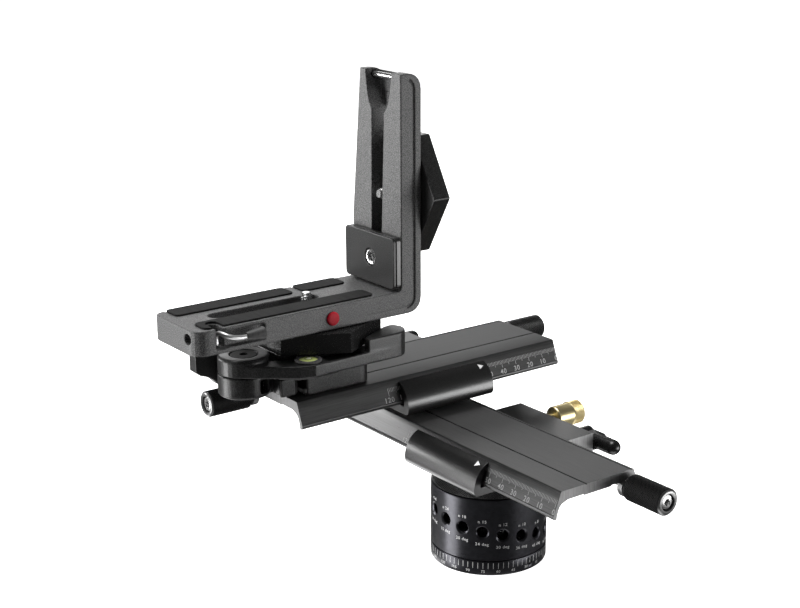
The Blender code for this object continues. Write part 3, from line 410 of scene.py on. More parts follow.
def thread(radius, depth, pitch, low, high, steps=24):
    """A screw thread about Z with a V form, closed at both ends."""
    bm = bmesh.new()
    turns = max(1, round((high - low) / pitch) - 1)
    roots = []
    crests = []
    for index in range((turns + 1) * steps + 1):
        angle = 2 * math.pi * index / steps
        way = ray(angle)
        rise = Vector((0, 0, low + pitch * index / steps))
        roots.append(bm.verts.new(way * (radius - depth) + rise))
        if index <= turns * steps:
            crests.append(bm.verts.new(way * radius + rise + Vector((0, 0, pitch / 2))))
    for index in range(turns * steps):
        bm.faces.new([roots[index], roots[index + 1], crests[index + 1], crests[index]])
        above = index + steps
        bm.faces.new([crests[index], crests[index + 1], roots[above + 1], roots[above]])
    foot = bm.verts.new((0, 0, low))
    head = bm.verts.new((0, 0, low + pitch * (turns + 1)))
    for index in range(steps):
        bm.faces.new([foot, roots[index + 1], roots[index]])
        last = turns * steps + index
        bm.faces.new([head, roots[last], roots[last + 1]])
    bm.faces.new([foot, roots[0], crests[0], roots[steps]])
    bm.faces.new([head, roots[-1], crests[-1], roots[turns * steps]])
    return bm


def merged(*shapes):
    """Several bmeshes in one. They may pass through each other."""
    whole = bmesh.new()
    for shape in shapes:
        mesh = bpy.data.meshes.new("part")
        shape.to_mesh(mesh)
        shape.free()
        whole.from_mesh(mesh)
        bpy.data.meshes.remove(mesh)
    return whole


def tube(stations, radius, sides):
    """A closed round tube through stations of (centre, side, up)."""
    bm = bmesh.new()
    turns = [2 * math.pi * step / sides for step in range(sides)]
    rows = [
        [bm.verts.new(centre + radius * (side * math.cos(turn) + up * math.sin(turn)))
         for turn in turns]
        for centre, side, up in stations
    ]
    for first, second in zip(rows, rows[1:]):
        for step in range(sides):
            after = (step + 1) % sides
            bm.faces.new([first[step], first[after], second[after], second[step]])
    bm.faces.new(rows[0])
    bm.faces.new(rows[-1])
    return bm


def moved(bm, place):
    bmesh.ops.transform(bm, matrix=place, verts=bm.verts)
    return bm


def ray(angle):
    """The level direction at an angle in radians."""
    return Vector((math.cos(angle), math.sin(angle), 0))


def arc(centre, radius, start, end, count):
    """Points on an arc, angles in degrees, both ends included."""
    step = (end - start) / (count - 1)
    angles = [math.radians(start + step * index) for index in range(count)]
    return [
        (centre[0] + radius * math.cos(angle), centre[1] + radius * math.sin(angle))
        for angle in angles
    ]


def rounded_box(low, high, radius, count=8):
    left, right = low[0] + radius, high[0] - radius
    foot, top = low[1] + radius, high[1] - radius
    outline = []
    for turn, centre in enumerate([(right, foot), (right, top), (left, top), (left, foot)]):
        outline += arc(centre, radius, 90 * turn - 90, 90 * turn, count)
    return outline


def hexagon(radius):
    return arc((0, 0), radius, 0, 300, 6)


def box_shape(low, high):
    corners = [(low[0], low[1]), (high[0], low[1]), (high[0], high[1]), (low[0], high[1])]
    return prism(corners, low[2], high[2])


def axis_frame(origin, direction):
    """The place whose Z runs along the direction."""
    turn = Vector(direction).to_track_quat("Z", "Y").to_matrix().to_4x4()
    return Matrix.Translation(origin) @ turn


def on_axis(node, direction):
    """A place at the centre of the box's near face, Z along the direction, and the box's length."""
    low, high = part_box(node)
    middle = (low + high) / 2
    way = Vector(direction)
    reach = abs((high - low).dot(way))
    return axis_frame(middle - way * reach / 2, way), reach


def upright(node):
    """A place on the vertical axis of a box, and the heights of the box's ends."""
    low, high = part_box(node)
    middle = (low + high) / 2
    return Matrix.Translation((middle.x, middle.y, 0)), low.z, high.z


def width(node, axis):
    low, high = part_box(node)
    return high[axis] - low[axis]


def carve(obj, bm, place=None, operation="DIFFERENCE"):
    """Cuts a shape out of a piece at once, or joins it on with the operation UNION."""
    tool = made("tool", bm, "steel", obj["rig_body"], place)
    modifier = obj.modifiers.new("cut", "BOOLEAN")
    modifier.operation = operation
    modifier.solver = "EXACT"
    modifier.object = tool
    applied(obj)
    bpy.data.objects.remove(tool)
    return obj


def casting(node, colour, voxel, passes=3, cuts=(), keep=0.5):
    """A CAD node's solid with its edges rounded as a casting's are: remeshed and then smoothed."""
    shape = bmesh.new()
    shape.from_mesh(NODES[node].data)
    bmesh.ops.remove_doubles(shape, verts=shape.verts, dist=WELD)
    obj = stand_for(node, shape, colour)
    for cutter in cuts:
        carve(obj, cutter)
    remesh = obj.modifiers.new("voxels", "REMESH")
    remesh.mode = "VOXEL"
    remesh.voxel_size = voxel
    remesh.use_smooth_shade = True
    smooth = obj.modifiers.new("round", "SMOOTH")
    smooth.factor = 0.5
    smooth.iterations = passes
    thin = obj.modifiers.new("thin", "DECIMATE")
    thin.ratio = keep
    applied(obj)
    obj.data.shade_smooth()
    return obj


def machined(node, colour, edge=0.25 * MM):
    """A CAD node that keeps its own solid, with small chamfers and a finished material."""
    obj = NODES[node]
    obj.data.materials.clear()
    obj.data.materials.append(MATERIALS[colour])
    weld = obj.modifiers.new("weld", "WELD")
    weld.merge_threshold = WELD
    obj.data.shade_smooth()
    if edge:
        chamfer(obj, edge)
    smooth = obj.modifiers.new("normals", "WEIGHTED_NORMAL")
    smooth.keep_sharp = True
    return obj


# ---- marks

CAPITAL_SHARE = 0.72
LETTER_SPACING = 1.15
DRUM_BOLDNESS = 0.01
SCALE_BOLDNESS = 0.006


def lettering(text, height, boldness):
    """Text as a flat shape in the XY plane, about its own centre. Boldness is a share of its size."""
    curve = bpy.data.curves.new("text", "FONT")
    curve.body = text
    curve.size = height / CAPITAL_SHARE
    curve.space_character = LETTER_SPACING
    curve.offset = boldness * curve.size
    curve.resolution_u = 3
    carrier = bpy.data.objects.new("text", curve)
    bpy.context.scene.collection.objects.link(carrier)
    bpy.context.view_layer.update()
    graph = bpy.context.evaluated_depsgraph_get()
    mesh = bpy.data.meshes.new_from_object(carrier.evaluated_get(graph))
    bm = bmesh.new()
    bm.from_mesh(mesh)
    bpy.data.objects.remove(carrier)
    bpy.data.curves.remove(curve)
    bpy.data.meshes.remove(mesh)
    sides = [vert.co.x for vert in bm.verts]
    shift = Vector((-(max(sides) + min(sides)) / 2, -height / 2, 0))
    bmesh.ops.translate(bm, verts=bm.verts, vec=shift)
    return bm


def stroke(left, low, right, high, rows=1):
    """A thin upright mark, split into rows so that it can follow a curved face."""
    bm = bmesh.new()
    edges = []
    for row in range(rows + 1):
        height = low + (high - low) * row / rows
        edges.append([bm.verts.new((left, height, 0)), bm.verts.new((right, height, 0))])
    for first, second in zip(edges, edges[1:]):
        bm.faces.new([first[0], first[1], second[1], second[0]])
    return bm


def wrapped(bm, surface):
    """Lays a flat shape on a surface, a function from the flat x and y to a point."""
    for vert in bm.verts:
        vert.co = surface(vert.co.x, vert.co.y)
    return bm


def marks(name, shapes, colour, body):
    """Flat shapes as one printed or engraved piece."""
    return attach(linked(name, merged(*shapes), MATERIALS[colour]), body)


def on_drum(radius, angle, height):
    """A surface for wrapped(): x runs round the drum, y up. The middle is at an angle in degrees."""
    def surface(x, y):
        turn = math.radians(angle) + x / radius
        reach = radius + SKIN
        return Vector((reach * math.cos(turn), reach * math.sin(turn), height + y))
    return surface


def printed_label(text, height, radius, angle, level):
    return wrapped(lettering(text, height, DRUM_BOLDNESS), on_drum(radius, angle, level))


# ---- pan unit

INDEX_COUNTS = (36, 24, 18, 15, 12, 10, 8, 6, 5, 4)
INDEX_FIRST_ANGLE = 163.5
INDEX_STEP_ANGLE = 20.2
INDEX_FIRST_HEIGHT = 29.7 * MM
INDEX_DROP = 1.72 * MM
INDEX_HOLE = 3.0 * MM
PLUNGER_WAY = ray(math.radians(25))
PLUNGER_HEIGHT = 22 * MM
SET_SCREW_ANGLE = -84.4
SET_SCREW_HEIGHT = 4.2 * MM
DIAL_ZERO_ANGLE = -59.7


def out_along(angle, height):
    """The place whose Z runs out along a drum radius."""
    return axis_frame((0, 0, height), ray(math.radians(angle)))


def base_ring():
    radius = width("base_ring", 0) / 2
    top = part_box("base_ring")[1].z
    bore = width("tripod_bush", 0) / 2 + 0.3 * MM
    rings = [(bore, 0), *near(radius, 0, (-0.6, 0), (-0.15, 0.15), (0, 0.6)),
             *near(radius, top, (0, -0.4), (-0.1, -0.1), (-0.4, 0)), (bore, top)]
    ring = stand_for("base_ring", lathe(rings, 144, closed=True), "satin")
    hole = near(0, radius, (0, -3), (1.3, -3), (1.3, -0.4), (2.1, 1), (0, 1))
    set_screw = out_along(SET_SCREW_ANGLE, SET_SCREW_HEIGHT)
    carve(ring, lathe(hole, 24), set_screw)
    sleeve = near(0, 0, (0.75, 0), (1.2, 0), (1.2, 1.6), (1.0, 1.8), (0.75, 1.8))
    floor = near(0, 0, (0, 0), (1.1, 0), (1.1, 0.8), (0, 0.8))
    made("ring_set_screw", merged(lathe(sleeve, 6, closed=True), lathe(floor, 24)), "steel", "base",
         set_screw @ Matrix.Translation((0, 0, radius - 2.9 * MM)))
    half_tick = 0.13 * MM
    shapes = []
    for value in range(0, 360, 5):
        angle = DIAL_ZERO_ANGLE - value
        tick = stroke(-half_tick, 3.9 * MM, half_tick, 7.3 * MM)
        shapes.append(wrapped(tick, on_drum(radius, angle, 0)))
        if value % 15 == 0:
            shapes.append(printed_label(str(value), 1.5 * MM, radius, angle, 2.4 * MM))
    marks("dial_marks", shapes, "dial_ink", "base")


def tripod_bush():
    """The steel bush, threaded inside."""
    low, high = (corner.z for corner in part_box("tripod_bush"))
    pitch = 1.5875 * MM
    rings = near(width("tripod_bush", 0) / 2, low, (-0.3, 0), (0, 0.3))
    rings.append((rings[-1][0], high))
    for turn in range(int((high - low - MM) / pitch), -1, -1):
        rings += near(0, low + pitch * turn, (4.5, 0.5 + pitch / 2 / MM), (5.1, 0.5))
    stand_for("tripod_bush", lathe(rings, 48, closed=True), "steel")


def radial_normals(obj, radius):
    """Shades a turned outer face as a true cylinder, also where holes break its facets."""
    mesh = obj.data
    normals = []
    for polygon in mesh.polygons:
        outer = abs(polygon.normal.z) < 0.1 and math.hypot(*polygon.center.xy) > radius * 0.995
        for index in polygon.loop_indices:
            point = mesh.vertices[mesh.loops[index].vertex_index].co
            if outer:
                normals.append(Vector((point.x, point.y, 0)).normalized())
            else:
                normals.append(mesh.corner_normals[index].vector.copy())
    mesh.normals_split_custom_set(normals)


def index_drum():
    radius = width("index_drum", 0) / 2
    low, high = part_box("index_drum")
    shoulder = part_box("pan_lock_ring")[0].z - 0.3 * MM
    neck = bore = 24 * MM
    well = 12 * MM
    roof = 36 * MM
    shaft = 5.3 * MM
    rings = [(bore, low.z), *near(radius, low.z, (-0.4, 0), (0, 0.4)),
             *near(radius, shoulder, (0, -0.7), (-0.2, -0.2), (-0.7, 0)), (neck, shoulder),
             (neck, high.z), (well, high.z), (well, shoulder), (shaft, shoulder), (shaft, roof),
             (bore, roof)]
    drum = stand_for("index_drum", lathe(rings, 192, closed=True), "satin")
    inside = bore - 2 * MM
    hole = [(0, inside), (INDEX_HOLE, inside),
            *near(INDEX_HOLE, radius, (0, -1.1), (1.1, 0.1), (1.1, 1)), (0, radius + MM)]
    letters = 1.7 * MM
    holes = []
    shapes = []
    for index, count in enumerate(INDEX_COUNTS):
        angle = INDEX_FIRST_ANGLE + index * INDEX_STEP_ANGLE
        height = INDEX_FIRST_HEIGHT - index * INDEX_DROP
        holes.append(moved(lathe(hole, 32), out_along(angle, height)))
        for text, level in ((f"n {count}", 6.4 * MM), (f"{360 // count} deg", -6.4 * MM)):
            shapes.append(printed_label(text, letters, radius, angle, height + level))
    sleeve = [(0, inside), (shaft, inside), (shaft, radius + MM), (0, radius + MM)]
    holes.append(moved(lathe(sleeve, 48), axis_frame((0, 0, PLUNGER_HEIGHT), PLUNGER_WAY)))
    carve(drum, merged(*holes))
    radial_normals(drum, radius)
    marks("index_labels", shapes, "dial_ink", "pan")


def lock_ring():
    radius = width("pan_lock_ring", 0) / 2
    low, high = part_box("pan_lock_ring")
    inner = 24.3 * MM
    pitch = 1.25 * MM
    rings = [(inner, low.z), *near(radius, low.z, (-0.7, 0), (-0.2, 0.5))]
    rings += knurl(radius, low.z + 0.7 * MM, high.z - 0.7 * MM, pitch, 0.4 * MM)
    rings += [*near(radius, high.z, (-0.2, -0.5), (-0.7, 0)), (inner, high.z)]
    stand_for("pan_lock_ring", lathe(rings, around(radius, pitch), closed=True), "knurl")


def index_plunger():
    """The pin with its pull knob, and the sleeve that it slides in."""
    place = axis_frame((0, 0, PLUNGER_HEIGHT), PLUNGER_WAY)
    radius = 7.8 * MM
    pitch = 1.15 * MM
    rings = near(0, 0, (0, 21.4), (1.6, 22), (2.6, 23.6), (2.6, 36), (6.6, 36), (7.1, 36.5),
                 (7.1, 37.6), (7.5, 38))
    rings += knurl(radius, 38.2 * MM, 46.8 * MM, pitch, 0.35 * MM)
    rings += near(0, 0, (7.3, 47.2), (6.3, 48.1), (4, 48.35), (0, 48.35))
    stand_for("index_plunger", lathe(rings, around(radius, pitch)), "knurl", place)
    sleeve = near(0, 0, (2.9, 24.4), (5, 24.4), (5, 35.2), (4.6, 35.6), (2.9, 35.6))
    stand_for("plunger_sleeve", lathe(sleeve, 64, closed=True), "steel", place)


def pan_unit():
    base_ring()
    tripod_bush()
    index_drum()
    lock_ring()
    index_plunger()
    machined("index_core", "block", 0)
    machined("spindle_bolt", "steel")
    machined("thrust_washer", "brass", 0)


# ---- sliding units

TICK_FROM = 4.0 * MM
HALF_TICK = 0.11 * MM
TICK_REACH = {1: 2.2 * MM, 5: 3.2 * MM, 10: 4.3 * MM}
NUMERAL_MIDDLE = 10.3 * MM
NUMERAL_HEIGHT = 2.9 * MM
SCALE_END = 0.9 * MM
SCALE_LENGTH = 120


def unit_place(prefix):
    """The sliding unit's own frame: x to the zero end, y from the jaw back, z up from the deck."""
    low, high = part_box(f"{prefix}_plate")
    middle = (low + high) / 2
    if high.x - low.x > high.y - low.y:
        return Matrix.Translation((0, middle.y, high.z))
    return Matrix.Translation((middle.x, 0, high.z)) @ Matrix.Rotation(-math.pi / 2, 4, "Z")


def local_box(node, place):
    corners = [place.inverted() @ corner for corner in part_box(node)]
    return Vector(map(min, *corners)), Vector(map(max, *corners))


def smooth_line(points, steps=6):
    """A Catmull-Rom curve through 2D or 3D points."""
    points = [Vector(point) for point in points]
    padded = [points[0], *points, points[-1]]
    line = []
    for before, start, end, after in zip(padded, padded[1:], padded[2:], padded[3:]):
        for step in range(steps):
            t = step / steps
            line.append(0.5 * (2 * start + (end - before) * t
                               + (2 * before - 5 * start + 4 * end - after) * t ** 2
                               + (3 * start - before - 3 * end + after) * t ** 3))
    line.append(points[-1])
    return line


def flange_face(half):
    """The front flange's outer face, from the deck's edge down to its tip, as (y, z)."""
    return near(-half, 0, (-0.35, -0.5), (-1.9, -4.6), (-4.0, -9.6), (-4.8, -11.6))


def plate_section(half, drop):
    """The sliding plate's outline as (y, z), with a flange at each side and two grooves on top."""
    face = flange_face(half)
    under = smooth_line(near(half, 0, (2.5, -12.6), (1.5, -9.4), (-0.2, -7.0), (-4.5, -5.3)))
    foot = arc((half + 3.45 * MM, -drop + 1.8 * MM), 1.8 * MM, 20, -90, 9)
    foot += arc((half + 3.3 * MM, -drop + 0.7 * MM), 0.7 * MM, -90, -150, 4)
    skin = [(-y, z) for y, z in face[1:]]
    flange = skin + foot + under + near(0, 0, (9.6, -5.3), (9.0, -5.9))
    rear = arc((half - 0.7 * MM, -1.2 * MM), 1.2 * MM, 90, 25, 6) + flange
    front = [(-y, z) for y, z in reversed(flange)]
    front += [face[0]] + near(-half, 0, (-0.05, -0.08), (0.3, 0))
    groove = near(0, 0, (-8.6, 0), (-8.45, -0.6), (-7.85, -0.6), (-7.7, 0))
    rear_groove = near(half, 0, (-2.1, 0), (-2.0, -0.4), (-1.6, -0.4), (-1.5, 0))
    return rear + front + groove + rear_groove


def jaw_line(half):
    """The jaw's outer face, from its lip at the plate down to its foot, as (y, z)."""
    return smooth_line(near(-half, 0, (-1.3, -2.1), (-4.6, -3.9), (-7.6, -7.2), (-9.6, -11.2),
                            (-10.3, -15.0), (-10.0, -17.6), (-8.9, -19.2)))


def carriage_section(half, depth):
    """The carriage's outline as (y, z): the jaw, the floor and the rail inside the front flange."""
    floor = -15.0 * MM
    back = half + 6.2 * MM
    inside = smooth_line(near(-half, 0, (-6.0, -13.8), (-4.5, -9.6), (-2.3, -4.4), (-1.0, -2.4)))
    rail = smooth_line(near(-half, 0, (5.0, -6.5), (0.6, -7.9), (-1.0, -10.2), (-2.0, -13.2)))
    return (jaw_line(half) + [(-half - 8.3 * MM, -depth), (back, -depth), (back, floor),
                              (14 * MM, floor), (14 * MM, -6.5 * MM)]
            + rail + near(-half, floor, (-2.4, 0), (-6.0, 0)) + inside)


def along_line(points, reach):
    """The point and the outward normal at a distance along a line of 2D points."""
    for first, second in zip(points, points[1:]):
        step = math.dist(first, second)
        if reach <= step:
            break
        reach -= step
    way = ((second[0] - first[0]) / step, (second[1] - first[1]) / step)
    return (first[0] + way[0] * reach, first[1] + way[1] * reach), (way[1], -way[0])


def on_line(points, place, lift=SKIN):
    """A surface for wrapped(): x along the unit, and -y down along the line of (y, z) points."""
    def surface(x, y):
        point, normal = along_line(points, -y)
        return place @ Vector((x, point[0] + normal[0] * lift, point[1] + normal[1] * lift))
    return surface


def scale_marks(prefix, place, zero_end, half):
    face = on_line(flange_face(half), place)
    shapes = []
    for value in range(SCALE_LENGTH + 1):
        rank = 10 if value % 10 == 0 else 5 if value % 5 == 0 else 1
        x = zero_end - SCALE_END - value * MM
        tick = stroke(x - HALF_TICK, -TICK_FROM - TICK_REACH[rank], x + HALF_TICK, -TICK_FROM, 4)
        shapes.append(wrapped(tick, face))
        if rank == 10:
            numeral = lettering(str(value), NUMERAL_HEIGHT, SCALE_BOLDNESS)
            bmesh.ops.translate(numeral, verts=numeral.verts, vec=(x, -NUMERAL_MIDDLE, 0))
            shapes.append(wrapped(numeral, face))
    # The scale's ink is the unit's painted-shade copy of the white print.
    marks(f"{prefix}_scale", shapes, f"{prefix}_ink", f"{prefix}_slide")


def pointer(prefix, place, half, end):
    """The white triangle on the jaw that points along the scale."""
    bm = bmesh.new()
    corners = near(end, 0, (-6.2, -1.6), (-6.2, -5.1), (-2.9, -3.35))
    bm.faces.new([bm.verts.new((x, y, 0)) for x, y in corners])
    bmesh.ops.subdivide_edges(bm, edges=bm.edges, cuts=3, use_grid_fill=True)
    wrapped(bm, on_line(jaw_line(half), place))
    marks(f"{prefix}_pointer", [bm], "ink", NODES[f"{prefix}_carriage"]["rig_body"])


def knob(prefix, end, outward):
    """Knurled barrel, smooth end rim and the socket screw in it."""
    node = f"{prefix}_knob_{end}"
    place, length = on_axis(node, outward)
    radius = width(node, 2) / 2
    pitch = 0.95 * MM
    bore = 1.7 * MM
    shoulder = length - 1.0 * MM
    recess = 4.3 * MM
    rings = [(bore, 0), *near(radius, 0, (-1.6, 0), (-0.9, 0.5), (-0.9, 1.2), (-0.2, 1.5))]
    rings += knurl(radius, 1.7 * MM, shoulder, pitch, 0.32 * MM)
    rings += near(radius, shoulder, (-0.3, 0.1), (-1.5, 0))
    rings += [(radius - 1.5 * MM, 2 * MM), (bore, 2 * MM)]
    stand_for(node, lathe(rings, around(radius, pitch), closed=True), "knurl", place)
    cap = [(recess, length - 4 * MM), (radius - 1.6 * MM, length - 4 * MM),
           *near(radius, shoulder, (-1.6, 0.1), (-0.35, 0.1)),
           *near(radius, length, (-0.9, -0.2), (-1.4, 0)), *near(recess, length, (0.3, 0), (0, -0.3))]
    # The end rim is painted light grey as a painted highlight on the black knob.
    rim = made(f"{node}_rim", lathe(cap, 64, closed=True), "rim", f"{prefix}_screw", place)
    socket_screw(f"{prefix}_knob_screw_{end}", outward)


def socket_screw(node, outward):
    """A cap screw's head with a hexagon socket."""
    place, length = on_axis(node, outward)
    radius = width(node, 2) / 2
    rings = [(0, 0), (radius, 0), *near(radius, length, (0, -0.6), (-0.15, -0.2), (-0.6, 0)),
             (0, length)]
    head = stand_for(node, lathe(rings, 48), "steel", place)
    carve(head, prism(hexagon(1.75 * MM), length - 1.9 * MM, length + MM), place)
    lead = near(0, length, (0, -0.25), (1.55, -0.25), (2.0, 0.2), (0, 0.2))
    carve(head, lathe(lead, 24), place)
    shaded(head, 25)


def lead_screw(prefix, way):
    """A threaded rod whose two ends are the same, turned down to journals."""
    node = f"{prefix}_lead_screw"
    place, length = on_axis(node, way)
    radius = width(node, 2) / 2
    journal = 1.4 * MM
    end = 10.6 * MM
    collar = end + 6 * MM
    near_end = [(0, 0), (journal, 0), (journal, end), (radius, end), (radius, collar),
                (1.5 * MM, collar + 0.5 * MM)]
    ends = lathe(near_end + [(reach, length - height) for reach, height in reversed(near_end)], 32)
    screw = thread(radius, 0.35 * MM, 1.5 * MM, collar, length - collar, 20)
    stand_for(node, merged(ends, screw), "steel", place)


def carriage(prefix, place, half):
    node = f"{prefix}_carriage"
    low, high = local_box(node, place)
    section = carriage_section(half, -low.z)
    body = stand_for(node, prism(section, low.x, high.x, "X"), "gloss", place, 25)
    slide_low, slide_high = local_box(f"{prefix}_half_nut", place)
    gap = 0.4 * MM
    window = box_shape((slide_low.x - gap, 13 * MM, low.z - MM),
                       (slide_high.x + gap, high.y + MM, -5.5 * MM))
    carve(body, window, place)
    chamfer(body, 0.3 * MM, 2, 40)


def faced(obj, colour, way):
    """Gives another material to the faces that look along the way, forward or back."""
    obj.data.materials.append(MATERIALS[colour])
    for polygon in obj.data.polygons:
        if abs(polygon.normal.dot(way)) > 0.99:
            polygon.material_index = len(obj.data.materials) - 1
    return obj


def rear_block(prefix, way):
    """The block's ends get a paler brushed grey, and its other faces are anodised."""
    block = machined(f"{prefix}_rear_block", f"plate_{prefix}", 0.3 * MM)
    faced(block, "pale_brushed", way)


def release_knob(prefix, way):
    node = f"{prefix}_release_knob"
    place, length = on_axis(node, way)
    radius = width(node, 2) / 2
    rod = 2.6 * MM
    body = 6.25 * MM
    start = length - 18.8 * MM
    head = length - 7.4 * MM
    pitch = 0.7 * MM
    rings = [(0, 0), (rod, 0), (rod, start), *near(body, start, (-0.9, 0), (-0.3, 0.25), (0, 0.8)),
             *near(body, head, (0, -0.6), (0.1, -0.2)), (radius - 0.3 * MM, head)]
    rings += knurl(radius, head + 0.2 * MM, length - 0.6 * MM, pitch, 0.24 * MM)
    rings += near(radius, length, (-0.3, -0.4), (-0.9, 0), (-1.6, 0), (-1.9, -0.15))
    rings.append((0, length - 0.15 * MM))
    stand_for(node, lathe(rings, around(radius, pitch)), "brass", place, 18)


def lock_lever(prefix, place):
    """Hub, arm and round handle, joined into one rounded piece."""
    node = f"{prefix}_lock_lever"
    low, high = local_box(node, place)
    axis = Vector((16 * MM, 0, -10 * MM))
    lay_y = place @ Matrix.Translation(axis) @ Matrix.Rotation(-math.pi / 2, 4, "X")
    hub = [(0, low.y), (2.5 * MM, low.y), *near(0, 0, (2.5, 48.6), (4.2, 48.6), (4.6, 49.0)),
           *near(0, high.y, (4.6, -0.6), (4.0, 0), (0, 0))]
    lever = stand_for(node, moved(lathe(hub, 48), lay_y), "paint")
    arm_end = high.x - 14.0 * MM
    arm = rounded_box((axis.x - 1.5 * MM, axis.z - 4.5 * MM), (arm_end, axis.z + 3.4 * MM), 2.4 * MM)
    carve(lever, prism(arm, 49.8 * MM, 58.8 * MM, "Y"), place, "UNION")
    radius = 4.2 * MM
    start = arm_end - 4 * MM
    handle = [(0, start), (radius, start), *arc((0, high.x - radius), radius, 0, 90, 12)]
    handle[-1] = (0, high.x)
    lay_x = place @ Matrix.Translation((0, 54.2 * MM, axis.z)) @ Matrix.Rotation(math.pi / 2, 4, "Y")
    carve(lever, moved(lathe(handle, 48), lay_x), None, "UNION")
    chamfer(shaded(lever, 35), 0.5 * MM, 3, 50)


def sliding_unit(prefix):
    place = unit_place(prefix)
    way = (place.to_3x3() @ Vector((1, 0, 0))).normalized()
    back = (place.to_3x3() @ Vector((0, 1, 0))).normalized()
    low, high = local_box(f"{prefix}_plate", place)
    half = high.y - 5.5 * MM
    plate = stand_for(f"{prefix}_plate", prism(plate_section(half, -low.z), low.x, high.x, "X"),
                      f"plate_{prefix}", place, 25)
    # The top faces get the deck copy: painted shade on the upper unit's deck, painted light on the
    # lower unit's deck.
    faced(plate, f"deck_{prefix}", Vector((0, 0, 1)))
    faced(plate, "pale_brushed", way)
    chamfer(plate, 0.3 * MM, 2, 40)
    scale_marks(prefix, place, high.x, half)
    carriage(prefix, place, half)
    pointer(prefix, place, half, local_box(f"{prefix}_carriage", place)[1].x)
    rear_block(prefix, way)
    release_knob(prefix, back)
    machined(f"{prefix}_half_nut", "brass", 0)
    lock_lever(prefix, place)
    machined(f"{prefix}_bearing_zero", "pale_brushed", 0.3 * MM)
    machined(f"{prefix}_bearing_far", "pale_brushed", 0.3 * MM)
    lead_screw(prefix, way)
    knob(prefix, "zero", way)
    knob(prefix, "far", -way)


# ---- quick-release clamp


def socket_head(name, body, place, radius, length, socket, colour):
    """A flat round head with a hexagon socket."""
    rings = [(0, 0), (radius, 0), *near(radius, length, (0, -0.4), (-0.4, 0)), (0, length)]
    head = made(name, lathe(rings, 64), colour, body, place)
    carve(head, prism(hexagon(socket), length * 0.35, length + MM), place)
    shaded(head, 25)


def spirit_level():
    place, low, top = upright("level_cup")
    cup = near(0, low, (0, 0), (5.7, 0))
    cup += near(0, top, (5.7, -1.3), (7.1, -1.3), (7.2, -1.1), (7.15, -0.5), (6.7, -0.05), (5.9, 0),
                (5.2, -0.15), (4.95, -0.6))
    cup += near(0, low, (4.95, 1.3), (0, 1.3))
    stand_for("level_cup", lathe(cup, 96), "plastic", place)
    floor, lid = (corner.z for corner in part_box("level_vial"))
    dome = near(0, floor, (0, 0), (4.9, 0))
    dome += near(0, lid, (4.9, -0.45), (4.5, -0.25), (2.6, -0.08), (0, 0))
    stand_for("level_vial", lathe(dome, 64), "fluid", place)
    ring = near(0, lid, (1.75, -0.3), (2.05, -0.3)) + near(0, lid + SKIN, (2.05, 0), (1.75, 0))
    made("level_ring", lathe(ring, 48, closed=True), "ring", "clamp_lever", place)
    bubble = near(0, lid, (0, -0.2), (1.3, -0.2), (1.2, 0.02), (0.7, 0.1), (0, 0.13))
    offset = Matrix.Translation((0.7 * MM, 0.5 * MM, 0))
    made("level_bubble", lathe(bubble, 32), "bubble", "clamp_lever", place @ offset)


def coil_spring():
    """Close turns of wire round the lever's pivot."""
    place, low, high = upright("torsion_spring")
    wire = 0.7 * MM
    radius = width("torsion_spring", 0) / 2 - wire
    per_turn = 40
    steps = 4 * per_turn
    up = Vector((0, 0, 1))
    stations = []
    for index in range(steps + 1):
        angle = 2 * math.pi * index / per_turn
        out = ray(angle)
        rise = low + wire + (high - low - 2 * wire) * index / steps
        stations.append((place.translation + out * radius + up * rise, out, up))
    stand_for("torsion_spring", tube(stations, wire, 10), "steel")


def lever_pocket():
    """The dished top of the lever's arm, which leaves a raised lip along its front."""
    low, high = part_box("clamp_lever")
    front = low.y + 2.2 * MM
    outline = near(high.x, front, (-53.5, 0), (-30.5, 0), (-30.5, 2.4), (-34.5, 8), (-47.5, 10.4),
                   (-53.5, 10.4))
    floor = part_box("level_cup")[1].z - 2.8 * MM
    return prism(outline, floor, floor + 6 * MM)


def clamp():
    casting("clamp_body", "cast", 0.5 * MM, 7)
    casting("clamp_lever", "cast", 0.42 * MM, 7, [lever_pocket()])
    casting("safety_catch", "cast", 0.4 * MM, 3)
    machined("foot_plate", "paint", 0.8 * MM)
    machined("clamp_bolt", "steel", 0)
    place, low, high = upright("lever_pivot")
    shaft = near(0, low, (0, 0), (4, 0)) + near(0, high, (4, -1.5), (0, -1.5))
    stand_for("lever_pivot", lathe(shaft), "steel", place)
    depth = 1.9 * MM
    head_place = place @ Matrix.Translation((0, 0, high - depth))
    # The pivot head is painted flat black as painted shade, for the shadow that it lies in.
    socket_head("lever_pivot_head", "upper_slide", head_place, 7.2 * MM, depth, 2.4 * MM, "dark")
    spirit_level()
    coil_spring()


# ---- bracket


CAMERA_THREAD = 3.1 * MM
CAMERA_PITCH = 1.27 * MM


def camera_screw():
    """Its head is under the arm, and its threaded tip stands above the arm."""
    place, low, high = upright("camera_screw")
    radius = width("camera_screw", 0) / 2
    head_top = low + 6 * MM
    head = [(0, low), *near(radius, low, (-0.6, 0), (0, 0.6)),
            *near(radius, head_top, (0, -0.4), (-0.4, 0)), (0, head_top)]
    tip = near(0, high, (0, -3), (2.5, -3), (2.5, -0.5), (2.0, 0), (0, 0))
    screw = thread(CAMERA_THREAD, 0.6 * MM, CAMERA_PITCH, head_top - 0.5 * MM, high - 0.3 * MM, 40)
    stand_for("camera_screw", merged(lathe(head, 64), lathe(tip, 48), screw), "steel", place)


def wire(points, radius):
    """A round wire along a smooth curve through 3D points."""
    path = smooth_line(points, 8)
    side = Vector((1, 0, 0))
    stations = []
    for index, point in enumerate(path):
        way = (path[min(index + 1, len(path) - 1)] - path[max(index - 1, 0)]).normalized()
        side = (side - way * side.dot(way)).normalized()
        stations.append((point, side, way.cross(side)))
    return tube(stations, radius, 16)


